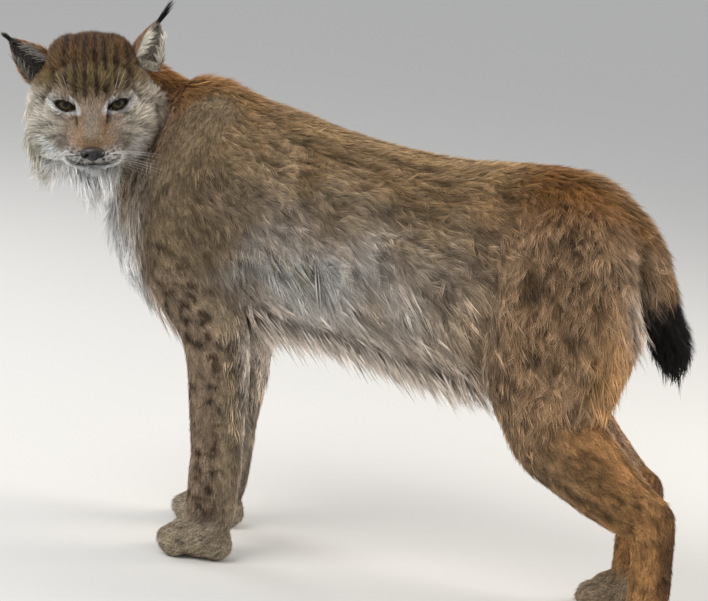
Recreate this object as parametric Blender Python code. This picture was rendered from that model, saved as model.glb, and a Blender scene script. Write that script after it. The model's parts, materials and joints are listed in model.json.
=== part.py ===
"""Eurasian lynx in its winter coat, a still life-size model.

The animal stands square with its hind legs stretched back, and looks over its left shoulder.
Metres, +Z up. The head end points to -X and the animal's left side to -Y.
Every form is built at the outer surface of the coat. The body is modelled whole, parted into
nodes with thin cuts, and dressed with the locks that hang clear of it.
"""

import math
import random

import bmesh
import bpy
from mathutils import Matrix, Vector
from mathutils.bvhtree import BVHTree

# The gap between neighbouring nodes, and how far apart two coats of one node are kept.
GAP = 0.0003
SIDES = {"left": -1, "right": 1}

# How far the right leg of each pair stands from the left one, along the back.
RIGHT_FORE_STEP = -0.042
RIGHT_HIND_STEP = -0.045

# Trunk, from breast to rump: distance along the back, height of the back, height of the belly under
# its fringe, half width.
TRUNK = (
    (-0.408, 0.470, 0.392, 0.036),
    (-0.383, 0.535, 0.356, 0.066),
    (-0.335, 0.612, 0.312, 0.094),
    (-0.290, 0.627, 0.292, 0.108),
    (-0.227, 0.611, 0.296, 0.114),
    (-0.160, 0.598, 0.312, 0.119),
    (-0.090, 0.584, 0.310, 0.122),
    (0.000, 0.575, 0.296, 0.120),
    (0.070, 0.575, 0.286, 0.114),
    (0.130, 0.582, 0.292, 0.106),
    (0.190, 0.585, 0.316, 0.104),
    (0.240, 0.578, 0.355, 0.096),
    (0.282, 0.553, 0.400, 0.072),
    (0.306, 0.520, 0.440, 0.038),
)

# Limbs and neck: x, y, z of the middle line, then the half size fore and aft, and the half size across.
# The y of a leg is given for the right side, as the distance from the middle plane.
FORELEG = (
    (-0.262, 0.058, 0.585, 0.032, 0.022),
    (-0.285, 0.070, 0.535, 0.055, 0.034),
    (-0.300, 0.080, 0.465, 0.062, 0.043),
    (-0.270, 0.086, 0.385, 0.060, 0.045),
    (-0.228, 0.085, 0.320, 0.050, 0.043),
    (-0.212, 0.083, 0.270, 0.045, 0.039),
    (-0.204, 0.081, 0.200, 0.041, 0.035),
    (-0.197, 0.080, 0.130, 0.037, 0.033),
    (-0.196, 0.080, 0.055, 0.034, 0.033),
)
THIGH = (
    (0.200, 0.040, 0.545, 0.050, 0.028),
    (0.218, 0.062, 0.500, 0.085, 0.046),
    (0.226, 0.080, 0.430, 0.097, 0.053),
    (0.229, 0.084, 0.360, 0.096, 0.051),
    (0.224, 0.082, 0.305, 0.086, 0.046),
    (0.218, 0.079, 0.265, 0.060, 0.040),
)
SHANK = (
    (0.196, 0.080, 0.305, 0.066, 0.043),
    (0.246, 0.077, 0.254, 0.062, 0.041),
    (0.292, 0.073, 0.217, 0.054, 0.036),
    (0.338, 0.070, 0.186, 0.045, 0.031),
    (0.372, 0.068, 0.168, 0.036, 0.028),
    (0.386, 0.068, 0.160, 0.024, 0.022),
)
METATARSUS = (
    (0.380, 0.068, 0.197, 0.016, 0.016),
    (0.380, 0.068, 0.180, 0.029, 0.024),
    (0.383, 0.068, 0.150, 0.032, 0.028),
    (0.388, 0.068, 0.110, 0.029, 0.028),
    (0.390, 0.068, 0.055, 0.028, 0.029),
)
NECK = (
    (-0.265, 0.000, 0.490, 0.120, 0.088),
    (-0.325, 0.000, 0.505, 0.116, 0.088),
    (-0.375, 0.004, 0.527, 0.102, 0.084),
    (-0.415, -0.004, 0.552, 0.090, 0.080),
    (-0.438, -0.034, 0.567, 0.082, 0.076),
    (-0.436, -0.076, 0.573, 0.072, 0.070),
)
TAIL = (
    (0.225, 0.000, 0.540, 0.040, 0.046),
    (0.262, 0.000, 0.524, 0.043, 0.046),
    (0.298, 0.000, 0.497, 0.040, 0.043),
    (0.324, 0.000, 0.458, 0.035, 0.040),
    (0.341, 0.000, 0.418, 0.033, 0.038),
    (0.357, 0.000, 0.383, 0.034, 0.038),
    (0.365, 0.000, 0.358, 0.026, 0.028),
)

# The head, as angles of the face from straight across the body, and the middle of the skull.
SKULL = Vector((-0.417, -0.108, 0.579))
HEAD_TURN = math.radians(23.0)
HEAD_PITCH = math.radians(-2.0)
HEAD_ROLL = math.radians(8.5)

# Voxel sizes that the forms are fused at, and the number of triangles kept afterwards.
BODY_VOXEL = 0.0075
HEAD_VOXEL = 0.0032
PAW_VOXEL = 0.0032
BODY_TRIANGLES = 1900
HEAD_TRIANGLES = 1300
PAW_TRIANGLES = 190

# Where the body is parted: how much wider than a limb its space is, how far that space reaches out of the
# body, so that it is cut steeply, and the planes across limbs and neck.
SLEEVE = 0.007
SLEEVE_REACH = 0.030
ELBOW = 0.325
PAW_TOP = 0.075
HEAD_BACK = -0.046
NECK_BASE = Vector((-0.365, 0, 0.510))
NECK_RUN = Vector((-0.94, 0, 0.34))
TAIL_TIP = Vector((0.342, 0, 0.447))
TAIL_RUN = Vector((0.30, 0, -0.95))

# The heights between which the right legs' step grows.
STEP_TOP = 0.50
STEP_FOOT = 0.10

# The knee and hock of a left leg: a point of the cut, the way it faces down the leg, and how much of the
# right leg's step it takes.
KNEE = ((0.231, 0, 0.297), (0.207, 0, -0.978), 0.5)
HOCK = ((0.374, 0, 0.176), (0.62, 0, -0.78), 0.85)

# A paw under the end of its leg: its masses as centre and radii, then its toes as across, ahead and half
# width, their height, half length and half depth, and where the pastern ends inside it.
PAW_MASSES = (
    ("palm", (-0.012, 0, 0.028), (0.043, 0.036, 0.033)),
    ("heel", (0.014, 0, 0.020), (0.024, 0.026, 0.022)),
)
TOES = ((-0.027, -0.036, 0.0135), (-0.0095, -0.047, 0.0125), (0.0095, -0.047, 0.0125), (0.027, -0.036, 0.0135))
TOE_HEIGHT = 0.018
TOE_HALF_LENGTH = 0.024
TOE_HALF_DEPTH = 0.020
PASTERN_END = (-0.006, 0.020, 0.8)

# In the head's own axes, to its right, forward and up: the masses under the face, as centre and radii.
HEAD_MIDDLE = (
    ("cranium", (0, -0.016, 0.018), (0.066, 0.068, 0.069)),
    ("brow", (0, 0.026, 0.020), (0.052, 0.034, 0.038)),
    ("jaw", (0, 0.022, -0.056), (0.050, 0.052, 0.034)),
    ("chin", (0, 0.070, -0.081), (0.021, 0.023, 0.013)),
)
# Those on the right side; the ones on the left are their mirror images.
HEAD_SIDE = (
    ("crown", (0.024, -0.014, 0.044), (0.036, 0.050, 0.040)),
    ("temple", (0.046, -0.006, -0.002), (0.036, 0.042, 0.050)),
    ("cheek", (0.044, 0.012, -0.034), (0.038, 0.042, 0.042)),
    ("orbit", (0.0335, 0.037, 0.001), (0.0255, 0.0185, 0.0190)),
    ("under_eye", (0.026, 0.040, -0.028), (0.026, 0.030, 0.024)),
    ("whisker_pad", (0.018, 0.080, -0.060), (0.021, 0.025, 0.017)),
)
# The fur under each ear, fuller on the left, where the ruff is pushed out by the shoulder.
RUFF_CORES = {
    "right": ((0.048, -0.014, -0.038), (0.033, 0.031, 0.050)),
    "left": ((-0.060, -0.014, -0.034), (0.040, 0.031, 0.056)),
}
# The muzzle and the bridge of the nose: middle line, half height, half width.
MUZZLE = (
    (0, 0.020, -0.024, 0.040, 0.046),
    (0, 0.056, -0.038, 0.030, 0.037),
    (0, 0.085, -0.049, 0.023, 0.029),
    (0, 0.099, -0.054, 0.016, 0.020),
)
BRIDGE = (
    (0, 0.020, 0.026, 0.026, 0.030),
    (0, 0.054, 0.004, 0.018, 0.022),
    (0, 0.081, -0.022, 0.013, 0.018),
    (0, 0.098, -0.040, 0.010, 0.015),
)

# Eyes and nose, in the same axes, and the nostrils as places and radii from the nose's middle.
EYE = (0.0335, 0.0410, 0.0)
EYE_RADIUS = 0.0135
NOSE = (0.0, 0.1000, -0.0535)
NOSE_RADII = (0.0170, 0.0105, 0.0100)
NOSTRIL = (0.0085, 0.0085, -0.0030)
NOSTRIL_RADII = (0.0035, 0.0060, 0.0026)

# Each ear: out, ahead, up of its base; its lean outwards, how far it is turned outwards, its length, and
# the length of its tuft and how far that leans out.
EARS = {
    "right": (0.056, -0.014, 0.030, math.radians(44), math.radians(-10), 0.070, 0.014, 0.0),
    "left": (0.066, -0.014, 0.038, math.radians(20), math.radians(-30), 0.066, 0.036, -0.35),
}
# Width and depth of an ear along its length, as shares of the base's.
EAR_SHAPE = (
    (0.0, 0.92, 1.0), (0.2, 1.0, 0.95), (0.45, 0.88, 0.78), (0.7, 0.60, 0.52), (0.9, 0.26, 0.26), (1.0, 0.08, 0.10),
)
EAR_HALF_WIDTH = 0.026
EAR_DEPTH = 0.015
# The hollow of an ear: where it starts and how far it runs, as shares of the length, then how far ahead it
# sits, how deep and how wide it is, as shares of the ear's own depth and width.
HOLLOW_RUN = (0.16, 0.72)
HOLLOW_SIZE = (0.95, 1.02, 0.80)

# Lids: radii of the lids over the ball, half size of the opening across and up, its slant and half depth.
LID_RADII = (0.0190, 0.0156, 0.0156)
LID_OPENING = (0.0122, 0.0054)
LID_SLANT = math.radians(20)
SLIT_DEPTH = 0.012

# The mouth: half width, height at the middle and at the corners, and radius of the groove and lips.
MOUTH_HALF_WIDTH = 0.030
MOUTH_MIDDLE = -0.0705
MOUTH_CORNER = -0.0620
MOUTH_GROOVE = 0.0016
LIP = 0.0030

# Locks: how deep a root sits, the thickness of a lock as a share of its width, and the room it keeps
# to the coats of other nodes.
ROOT_DEPTH = 0.009
LOCK_FLATNESS = 0.30
LOCK_ROOM = 0.0006
# Places along a lock, as shares of its length, and its width there.
LOCK_BANDS = ((-0.15, 0.80), (0.34, 1.0), (0.70, 0.66))
# What is tried until a lock is clear of its neighbours: share of its length, and how much more it rises.
LOCK_TRIALS = ((1.0, 0.0), (0.85, 0.12), (0.7, 0.25), (0.55, 0.1))
LOCK_SEED = 11
# How far outside the body the rays start that find the roots.
OUTSIDE = 0.8

# Kinds of lock: length, width, how much of its stand off the coat is kept, its rise, the most that it
# curls aside, and the way it lies.
LOCKS = {
    "ruff": (0.060, 0.034, 0.40, 0.06, 0.15, None),
    "throat": (0.052, 0.034, 0.30, 0.06, 0.20, (-0.12, 0, -1)),
    "belly": (0.062, 0.048, 0.75, 0.00, 0.20, (0.62, 0, -0.78)),
    "flank": (0.085, 0.056, 0.10, 0.05, 0.25, (0.55, 0, -0.84)),
    "thigh": (0.055, 0.036, 0.35, 0.03, 0.20, (0.20, 0, -1)),
    "knee": (0.058, 0.042, 0.10, 0.05, 0.25, (0.30, 0, -0.95)),
    "elbow": (0.046, 0.030, 0.40, 0.03, 0.15, (0.18, 0, -1)),
    "tail": (0.044, 0.034, 0.30, 0.03, 0.15, None),
    "tail_tip": (0.040, 0.034, 0.30, 0.03, 0.15, None),
}
# Where they root. The bib: heights of its rows, how many stand in a row, and their spacing.
THROAT_ROWS = {"neck": (0.478, 0.448, 0.418), "torso": (0.392, 0.358, 0.326)}
THROAT_COUNT = 4
THROAT_SPACING = 0.034
# The fringe: places of its rows across the belly, then where a row starts, how many it has, and their spacing.
BELLY_ROWS = (-0.084, -0.028, 0.028, 0.084)
BELLY_START = -0.145
BELLY_COUNT = 6
BELLY_SPACING = 0.047
FLANK_HEIGHT = 0.350
FLANK_START = -0.130
FLANK_COUNT = 5
FLANK_SPACING = 0.052
THIGH_HEIGHTS = (0.445, 0.400, 0.355)
THIGH_ACROSS = (0.062, 0.098)
KNEE_HEIGHT = 0.345
KNEE_PLACES = (0.165, 0.209, 0.253)
ELBOW_HEIGHTS = (0.295, 0.252, 0.210)
ELBOW_ACROSS = 0.082
# Rings of locks round the tail: the rows of its table they stand between, and the share of the way.
TAIL_RINGS = {"tail_tip": ((4, 5, 0.0), (5, 6, 0.2)), "tail": ((2, 3, 0.35), (3, 4, 0.0))}
TAIL_COUNT = 5
# The hairs of an ear tuft: how far aside each stands and its share of the full length. Then where they
# root, as a share of the ear's length, how they spread, and their width.
TUFT_HAIRS = ((0.0, 1.0), (-0.0016, 0.75), (0.0016, 0.85))
TUFT_ROOT = 0.93
TUFT_SPREAD = 60
TUFT_WIDTH = 0.0070
# The ruff runs from under the ears to the chin, as angles from straight up. Its tiers: how far ahead of
# the skull's middle, how many locks a side, and their share of the full length.
RUFF_START = 72
RUFF_END = 176
RUFF_TIERS = ((-0.022, 6, 1.0), (0.002, 5, 0.85))
RUFF_SHORTEST = 0.040
# The height that it hangs round, and how it hangs: aside, and down.
RUFF_HEIGHT = -0.020
RUFF_HANG = (0.10, -0.62)
# The ruff flares out and back on the open right side, and hangs forward on the left, by the shoulder.
RUFF_FLARE = {1: 0.30, -1: 0.30}
RUFF_SWEEP = {1: -0.12, -1: 0.30}

# Linear colours and roughness of coat and bare parts.
COLOURS = {
    "tawny_fur": ((0.33, 0.24, 0.15), 0.9),
    "pale_fur": ((0.55, 0.48, 0.38), 0.9),
    "black_fur": ((0.02, 0.018, 0.015), 0.85),
    "grey_fur": ((0.30, 0.26, 0.21), 0.9),
    "nose_leather": ((0.10, 0.05, 0.045), 0.45),
    "amber_eye": ((0.20, 0.15, 0.04), 0.08),
}
COAT_OF = {
    "tail_tip": "black_fur",
    "ear": "grey_fur",
    "nose": "nose_leather",
    "eye": "amber_eye",
    "forepaw": "pale_fur",
    "hindpaw": "pale_fur",
}


def head_frame():
    """The matrix from the head's own axes (to its right, forward, up) to the model's."""
    forward = Vector((
        math.sin(HEAD_TURN) * math.cos(HEAD_PITCH),
        -math.cos(HEAD_TURN) * math.cos(HEAD_PITCH),
        math.sin(HEAD_PITCH),
    ))
    level_left = Vector((math.cos(HEAD_TURN), math.sin(HEAD_TURN), 0.0))
    level_up = forward.cross(level_left)
    left = level_left * math.cos(HEAD_ROLL) + level_up * math.sin(HEAD_ROLL)
    up = forward.cross(left)
    axes = Matrix((-left, forward, up)).transposed().to_4x4()
    return Matrix.Translation(SKULL) @ axes


def new_object(name, mesh):
    made = bpy.data.objects.new(name, mesh)
    bpy.context.scene.collection.objects.link(made)
    return made


def blend_rows(rows, steps):
    """Rows of numbers with Catmull-Rom steps between them, so that every column runs smoothly."""
    padded = [rows[0], *rows, rows[-1]]
    out = []
    for i in range(1, len(rows)):
        a, b, c, d = padded[i - 1], padded[i], padded[i + 1], padded[i + 2]
        for k in range(steps):
            t = k / steps
            out.append(tuple(
                0.5 * (2 * q + (r - p) * t + (2 * p - 5 * q + 4 * r - s) * t * t + (3 * q - p - 3 * r + s) * t**3)
                for p, q, r, s in zip(a, b, c, d)
            ))
    out.append(rows[-1])
    return out


def oval(centre, first, second, sides, squareness):
    """Points round a superellipse with half axes first and second; squareness 2 is an ellipse."""
    points = []
    for k in range(sides):
        angle = 2 * math.pi * k / sides
        c, s = math.cos(angle), math.sin(angle)
        along = math.copysign(abs(c) ** (2 / squareness), c)
        across = math.copysign(abs(s) ** (2 / squareness), s)
        points.append(centre + first * along + second * across)
    return points


def closed_mesh(name, rings):
    """A closed body over rings of points that share one count, with a pole at the middle of each end."""
    mesh = bpy.data.meshes.new(name)
    bm = bmesh.new()
    loops = [[bm.verts.new(p) for p in ring] for ring in rings]
    count = len(loops[0])
    for low, high in zip(loops, loops[1:]):
        for k in range(count):
            n = (k + 1) % count
            bm.faces.new((low[k], low[n], high[n], high[k]))
    for loop, flip in ((loops[0], True), (loops[-1], False)):
        pole = bm.verts.new(sum((v.co for v in loop), Vector()) / count)
        for k in range(count):
            n = (k + 1) % count
            bm.faces.new((loop[n], loop[k], pole) if flip else (loop[k], loop[n], pole))
    bmesh.ops.triangulate(bm, faces=bm.faces)
    bmesh.ops.recalc_face_normals(bm, faces=bm.faces)
    bm.to_mesh(mesh)
    bm.free()
    return new_object(name, mesh)


def tube(name, rows, hint, sides=20, steps=4, squareness=2.0, grow=0.0):
    """A body along rows of (x, y, z, half size along hint, half size across it), made wider by grow."""
    rows = blend_rows(rows, steps)
    middles = [Vector(r[:3]) for r in rows]
    rings = []
    for i, row in enumerate(rows):
        run = middles[min(i + 1, len(rows) - 1)] - middles[max(i - 1, 0)]
        run.normalize()
        first = (hint - run * hint.dot(run)).normalized()
        second = run.cross(first)
        rings.append(oval(middles[i], first * (row[3] + grow), second * (row[4] + grow), sides, squareness))
    return closed_mesh(name, rings)


def trunk():
    """The barrel of the body: each station is an upright oval, a little squared like a deep chest."""
    rings = []
    for x, top, bottom, half_width in blend_rows(TRUNK, 4):
        centre = Vector((x, 0, (top + bottom) / 2))
        rings.append(oval(centre, Vector((0, 0, (top - bottom) / 2)), Vector((0, half_width, 0)), 28, 2.25))
    return closed_mesh("trunk", rings)


def ball(name, frame, centre, radii, segments=20):
    """An ellipsoid in the given frame."""
    mesh = bpy.data.meshes.new(name)
    bm = bmesh.new()
    bmesh.ops.create_uvsphere(bm, u_segments=segments, v_segments=segments // 2, radius=1.0)
    size = Matrix.Diagonal((*radii, 1.0))
    bm.transform(frame @ Matrix.Translation(Vector(centre)) @ size)
    bmesh.ops.recalc_face_normals(bm, faces=bm.faces)
    bm.to_mesh(mesh)
    bm.free()
    return new_object(name, mesh)


def apply_modifiers(obj):
    graph = bpy.context.evaluated_depsgraph_get()
    mesh = bpy.data.meshes.new_from_object(obj.evaluated_get(graph))
    obj.modifiers.clear()
    obj.data = mesh
    return obj


def join(name, pieces):
    """One object holding the faces of several, which are removed."""
    bm = bmesh.new()
    for piece in pieces:
        bm.from_mesh(piece.data)
        bpy.data.objects.remove(piece)
    mesh = bpy.data.meshes.new(name)
    bm.to_mesh(mesh)
    bm.free()
    return new_object(name, mesh)


def fuse(name, pieces, voxel, smooth_rounds):
    """Overlapping bodies melted into one skin, with their creases smoothed."""
    made = join(name, pieces)
    remesh = made.modifiers.new("melt", "REMESH")
    remesh.mode = "VOXEL"
    remesh.voxel_size = voxel
    smooth = made.modifiers.new("soften", "SMOOTH")
    smooth.factor = 0.5
    smooth.iterations = smooth_rounds
    return apply_modifiers(made)


def thin_out(obj, triangles):
    """Collapses the mesh to about this many triangles."""
    count = sum(len(p.vertices) - 2 for p in obj.data.polygons)
    if count > triangles:
        collapse = obj.modifiers.new("thin", "DECIMATE")
        collapse.ratio = triangles / count
        collapse.use_collapse_triangulate = True
        apply_modifiers(obj)
    return obj


def grown(obj, amount):
    """A copy of obj with its surface moved outwards."""
    made = new_object("grown", obj.data.copy())
    bm = bmesh.new()
    bm.from_mesh(made.data)
    bm.normal_update()
    for vert in bm.verts:
        vert.co += vert.normal * amount
    bm.to_mesh(made.data)
    bm.free()
    return made


def copy_of(obj, name):
    return new_object(name, obj.data.copy())


def boolean(obj, other, operation, solver="EXACT"):
    """Joins, cuts or intersects obj with another object, which is removed."""
    step = obj.modifiers.new(operation.lower(), "BOOLEAN")
    step.operation = operation
    step.solver = solver
    step.object = other
    apply_modifiers(obj)
    bpy.data.objects.remove(other)
    return obj


def keep_largest(obj):
    """Drops every closed surface but the one with the largest box."""
    bm = bmesh.new()
    bm.from_mesh(obj.data)
    bm.verts.ensure_lookup_table()
    left = set(bm.verts)
    groups = []
    while left:
        seed = left.pop()
        group = {seed}
        edge_of = [seed]
        while edge_of:
            vert = edge_of.pop()
            for edge in vert.link_edges:
                other = edge.other_vert(vert)
                if other in left:
                    left.remove(other)
                    group.add(other)
                    edge_of.append(other)
        groups.append(group)
    groups.sort(key=box_size, reverse=True)
    for group in groups[1:]:
        bmesh.ops.delete(bm, geom=list(group), context="VERTS")
    bm.to_mesh(obj.data)
    bm.free()
    return obj


def box_size(verts):
    return math.prod(max(v.co[k] for v in verts) - min(v.co[k] for v in verts) for k in range(3))


def cut_away(obj, point, normal):
    """Removes what lies beyond a plane and closes the cut with a flat face."""
    bm = bmesh.new()
    bm.from_mesh(obj.data)
    cut = bmesh.ops.bisect_plane(
        bm, geom=[*bm.verts, *bm.edges, *bm.faces], plane_co=point, plane_no=normal, clear_outer=True
    )
    rim = [e for e in cut["geom_cut"] if isinstance(e, bmesh.types.BMEdge)]
    bmesh.ops.holes_fill(bm, edges=rim, sides=0)
    bmesh.ops.triangulate(bm, faces=bm.faces)
    bmesh.ops.recalc_face_normals(bm, faces=bm.faces)
    bm.to_mesh(obj.data)
    bm.free()
    return obj


def part_at(obj, names, point, normal):
    """Splits obj at a plane into two objects with a gap between them: what lies behind it, then beyond it."""
    normal = Vector(normal).normalized()
    point = Vector(point)
    beyond = copy_of(obj, names[1])
    cut_away(beyond, point + normal * GAP / 2, -normal)
    obj.name = names[0]
    cut_away(obj, point - normal * GAP / 2, normal)
    return keep_largest(obj), keep_largest(beyond)


def mirrored(rows, side, step=0.0):
    """A leg's rows on one side. The step grows from nothing at hip or shoulder to its full size at the foot."""
    out = []
    for x, y, z, *rest in rows:
        share = min(1.0, max(0.0, (STEP_TOP - z) / (STEP_TOP - STEP_FOOT)))
        out.append((x + step * share, y * SIDES[side], z, *rest))
    return out


def step_of(side, pair):
    if side == "left":
        return 0.0
    return RIGHT_FORE_STEP if pair == "fore" else RIGHT_HIND_STEP


def leg_forms(side, pair, reach=0.0, **fineness):
    """The tubes of one leg down to the pastern, made wider on their outer side by reach."""
    step = step_of(side, pair)
    parts = ((FORELEG, AHEAD),) if pair == "fore" else ((THIGH, AHEAD), (SHANK, UP), (METATARSUS, AHEAD))
    made = []
    for rows, hint in parts:
        wide = [(x, y + reach, z, deep, across + reach) for x, y, z, deep, across in rows]
        made.append(tube("leg", mirrored(wide, side, step), hint, **fineness))
    return made


def head_forms(frame):
    """The masses of the skull under the face."""
    forms = [ball(name, frame, centre, radii) for name, centre, radii in HEAD_MIDDLE]
    forms += [ball("ruff_core", frame, centre, radii) for centre, radii in RUFF_CORES.values()]
    for side in SIDES.values():
        for name, centre, radii in HEAD_SIDE:
            forms.append(ball(name, frame, (side * centre[0], *centre[1:]), radii))
    for name, rows in (("muzzle", MUZZLE), ("bridge", BRIDGE)):
        made = tube(name, rows, Vector((0, 0, 1)))
        made.data.transform(frame)
        forms.append(made)
    return forms


bpy.context.preferences.edit.use_global_undo = False
for old in list(bpy.data.objects):
    bpy.data.objects.remove(old)

FRAME = head_frame()
UP = Vector((0, 0, 1))
AHEAD = Vector((-1, 0, 0))


def whole_body():
    """Neck, trunk, legs and tail melted into one skin."""
    forms = [trunk(), tube("neck", NECK, UP), tube("tail", TAIL, AHEAD)]
    for side in SIDES:
        forms += leg_forms(side, "fore") + leg_forms(side, "hind")
    return thin_out(fuse("body", forms, BODY_VOXEL, 6), BODY_TRIANGLES)


def head_mass():
    """The head as one skin, flat at the back where the neck meets it."""
    mass = thin_out(fuse("head", head_forms(FRAME), HEAD_VOXEL, 6), HEAD_TRIANGLES)
    back = FRAME @ Vector((0, HEAD_BACK, 0))
    forward = FRAME.to_3x3() @ Vector((0, 1, 0))
    return cut_away(mass, back, -forward)


def take(body, sleeve, name):
    """Takes what lies in the sleeve out of the body as a new node, with a gap round it."""
    node = copy_of(body, name)
    wider = grown(sleeve, GAP)
    boolean(node, sleeve, "INTERSECT")
    boolean(body, wider, "DIFFERENCE")
    keep_largest(body)
    return keep_largest(node)


def leg_sleeve(side, pair):
    """The space of one leg, a little wider than the leg, from its blade or hip to the pastern."""
    made, *others = leg_forms(side, pair, SLEEVE_REACH, grow=SLEEVE, sides=12, steps=1)
    for other in others:
        boolean(made, other, "UNION")
    return made


def hind_plane(side, joint):
    """The cut across a hind leg at its knee or hock."""
    point, run, share = joint
    return Vector(point) + Vector((step_of(side, "hind") * share, 0, 0)), run


def part_legs(body):
    """Parts every leg from the body, and each leg at its joints. Gives the nodes by name."""
    nodes = {}
    paw_cut = ((0, 0, PAW_TOP), -UP)
    for side in SIDES:
        fore = take(body, leg_sleeve(side, "fore"), "foreleg")
        names = (f"foreleg_{side}_upper", "rest")
        upper, rest = part_at(fore, names, (0, 0, ELBOW), -UP)
        lower, stub = part_at(rest, (f"foreleg_{side}_lower", "stub"), *paw_cut)
        bpy.data.objects.remove(stub)
        hind = take(body, leg_sleeve(side, "hind"), "hindleg")
        thigh, rest = part_at(hind, (f"thigh_{side}", "rest"), *hind_plane(side, KNEE))
        shank, rest = part_at(rest, (f"shank_{side}", "rest"), *hind_plane(side, HOCK))
        hock, stub = part_at(rest, (f"hock_{side}", "stub"), *paw_cut)
        bpy.data.objects.remove(stub)
        for node in (upper, lower, thigh, shank, hock):
            nodes[node.name] = node
    return nodes


def paw(name, x, y, rows):
    """A broad soft paw of four toes round a pad, flat underneath, with its pastern up to the leg."""
    place = Matrix.Translation((x, y, 0))
    forms = [ball(part, place, centre, radii) for part, centre, radii in PAW_MASSES]
    forms.append(tube("pastern", rows, AHEAD))
    for across, ahead, width in TOES:
        forms.append(ball("toe", place, (ahead, across, TOE_HEIGHT), (TOE_HALF_LENGTH, width, TOE_HALF_DEPTH)))
    made = thin_out(fuse(name, forms, PAW_VOXEL, 3), PAW_TRIANGLES)
    cut_away(made, Vector((0, 0, 0)), -UP)
    cut_away(made, Vector((0, 0, PAW_TOP - GAP / 2)), UP)
    return keep_largest(made)


def paws():
    """The four paws, each under its own leg."""
    nodes = {}
    for side in SIDES:
        for pair, rows in (("fore", FORELEG), ("hind", METATARSUS)):
            lowest = mirrored(rows, side, step_of(side, pair))[-2:]
            x, y, _, deep, wide = lowest[-1]
            ahead, height, share = PASTERN_END
            pastern = [*lowest, (x + ahead, y, height, deep * share, wide * share)]
            name = f"{pair}paw_{side}"
            nodes[name] = paw(name, x, y, pastern)
    return nodes


def ear_place(side):
    """The matrix from an ear's own axes, with its tip up, to the model's, and the ear's length."""
    out, ahead, height, tilt, turn, length, _, _ = EARS[side]
    lean = Matrix.Rotation(tilt * SIDES[side], 4, "Y") @ Matrix.Rotation(turn * SIDES[side], 4, "Z")
    return FRAME @ Matrix.Translation((out * SIDES[side], ahead, height)) @ lean, length


def ear(side, head):
    """A cup of fur over gristle: an upright cone, scooped out from in front, set on the skull."""
    place, length = ear_place(side)
    outer_rows = [(0, 0, t * length, EAR_DEPTH * d, EAR_HALF_WIDTH * w) for t, w, d in EAR_SHAPE]
    outer = tube("ear", outer_rows, Vector((0, 1, 0)), sides=12, steps=1)
    start, run = HOLLOW_RUN
    ahead, deep, wide = HOLLOW_SIZE
    scoop_rows = [
        (0, EAR_DEPTH * d * ahead, (start + t * run) * length, EAR_DEPTH * d * deep, EAR_HALF_WIDTH * w * wide)
        for t, w, d in EAR_SHAPE
    ]
    scoop = tube("scoop", scoop_rows, Vector((0, 1, 0)), sides=12, steps=1)
    boolean(outer, scoop, "DIFFERENCE")
    outer.data.transform(place)
    outer.name = f"ear_{side}"
    boolean(outer, grown(head, GAP), "DIFFERENCE")
    return keep_largest(outer)


def open_eye(head, side):
    """Lids over the eye, slanted and half closed, with the socket behind them."""
    centre = Vector((EYE[0] * SIDES[side], EYE[1], EYE[2]))
    boolean(head, ball("lids", FRAME, centre, LID_RADII, 16), "UNION")
    socket = ball("socket", FRAME, centre, (EYE_RADIUS + GAP * 2,) * 3, 14)
    slant = Matrix.Translation(centre) @ Matrix.Rotation(-LID_SLANT * SIDES[side], 4, "Y")
    half_across, half_up = LID_OPENING
    slit = ball("slit", FRAME @ slant, (0, EYE_RADIUS, 0), (half_across, SLIT_DEPTH, half_up), 12)
    boolean(socket, slit, "UNION")
    boolean(head, socket, "DIFFERENCE")


def mouth_line(tree, lower=0.0):
    """Points along the mouth from corner to corner, on the muzzle's surface, in the head's own axes."""
    back = FRAME.inverted()
    forward = FRAME.to_3x3() @ Vector((0, 1, 0))
    points = []
    for k in range(9):
        across = MOUTH_HALF_WIDTH * (k / 4 - 1)
        rise = (MOUTH_CORNER - MOUTH_MIDDLE) * abs(k / 4 - 1) ** 2
        aim = FRAME @ Vector((across, 0.3, MOUTH_MIDDLE + rise - lower))
        hit, _, _, _ = tree.ray_cast(aim, -forward)
        if hit is not None:
            points.append(back @ hit)
    return points


def cut_mouth(head):
    """A lower lip, the line of the mouth, and the groove from the nose down to it."""
    lip_rows = [(*p, LIP, LIP) for p in mouth_line(tree_of(head), LIP)]
    lip = tube("lip", lip_rows, UP, sides=6, steps=1)
    lip.data.transform(FRAME @ Matrix.Translation((0, -LIP * 0.5, 0)))
    boolean(head, lip, "UNION")
    groove_rows = [(*p, MOUTH_GROOVE, MOUTH_GROOVE * 1.6) for p in mouth_line(tree_of(head))]
    groove = tube("groove", groove_rows, UP, sides=6, steps=1)
    groove.data.transform(FRAME)
    boolean(head, groove, "DIFFERENCE")
    cleft_rows = [
        (0, NOSE[1] + 0.004, NOSE[2] - 0.006, 0.0012, 0.0040),
        (0, groove_rows[4][1] + 0.001, MOUTH_MIDDLE, 0.0012, 0.0030),
    ]
    cleft = tube("cleft", cleft_rows, Vector((1, 0, 0)), sides=6, steps=2)
    cleft.data.transform(FRAME)
    boolean(head, cleft, "DIFFERENCE")


def eye(side):
    """The eyeball, a plain ball behind the lids."""
    centre = (EYE[0] * SIDES[side], EYE[1], EYE[2])
    return ball(f"eye_{side}", FRAME, centre, (EYE_RADIUS,) * 3, 14)


def nose(head):
    """The bare leather of the nose with its two nostrils, let into the end of the muzzle."""
    made = ball("nose", FRAME, NOSE, NOSE_RADII, 14)
    for across in (-1, 1):
        nostril = Vector(NOSE) + Vector((across * NOSTRIL[0], *NOSTRIL[1:]))
        boolean(made, ball("nostril", FRAME, nostril, NOSTRIL_RADII, 8), "DIFFERENCE")
    boolean(head, grown(made, GAP), "DIFFERENCE")
    return made


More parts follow.
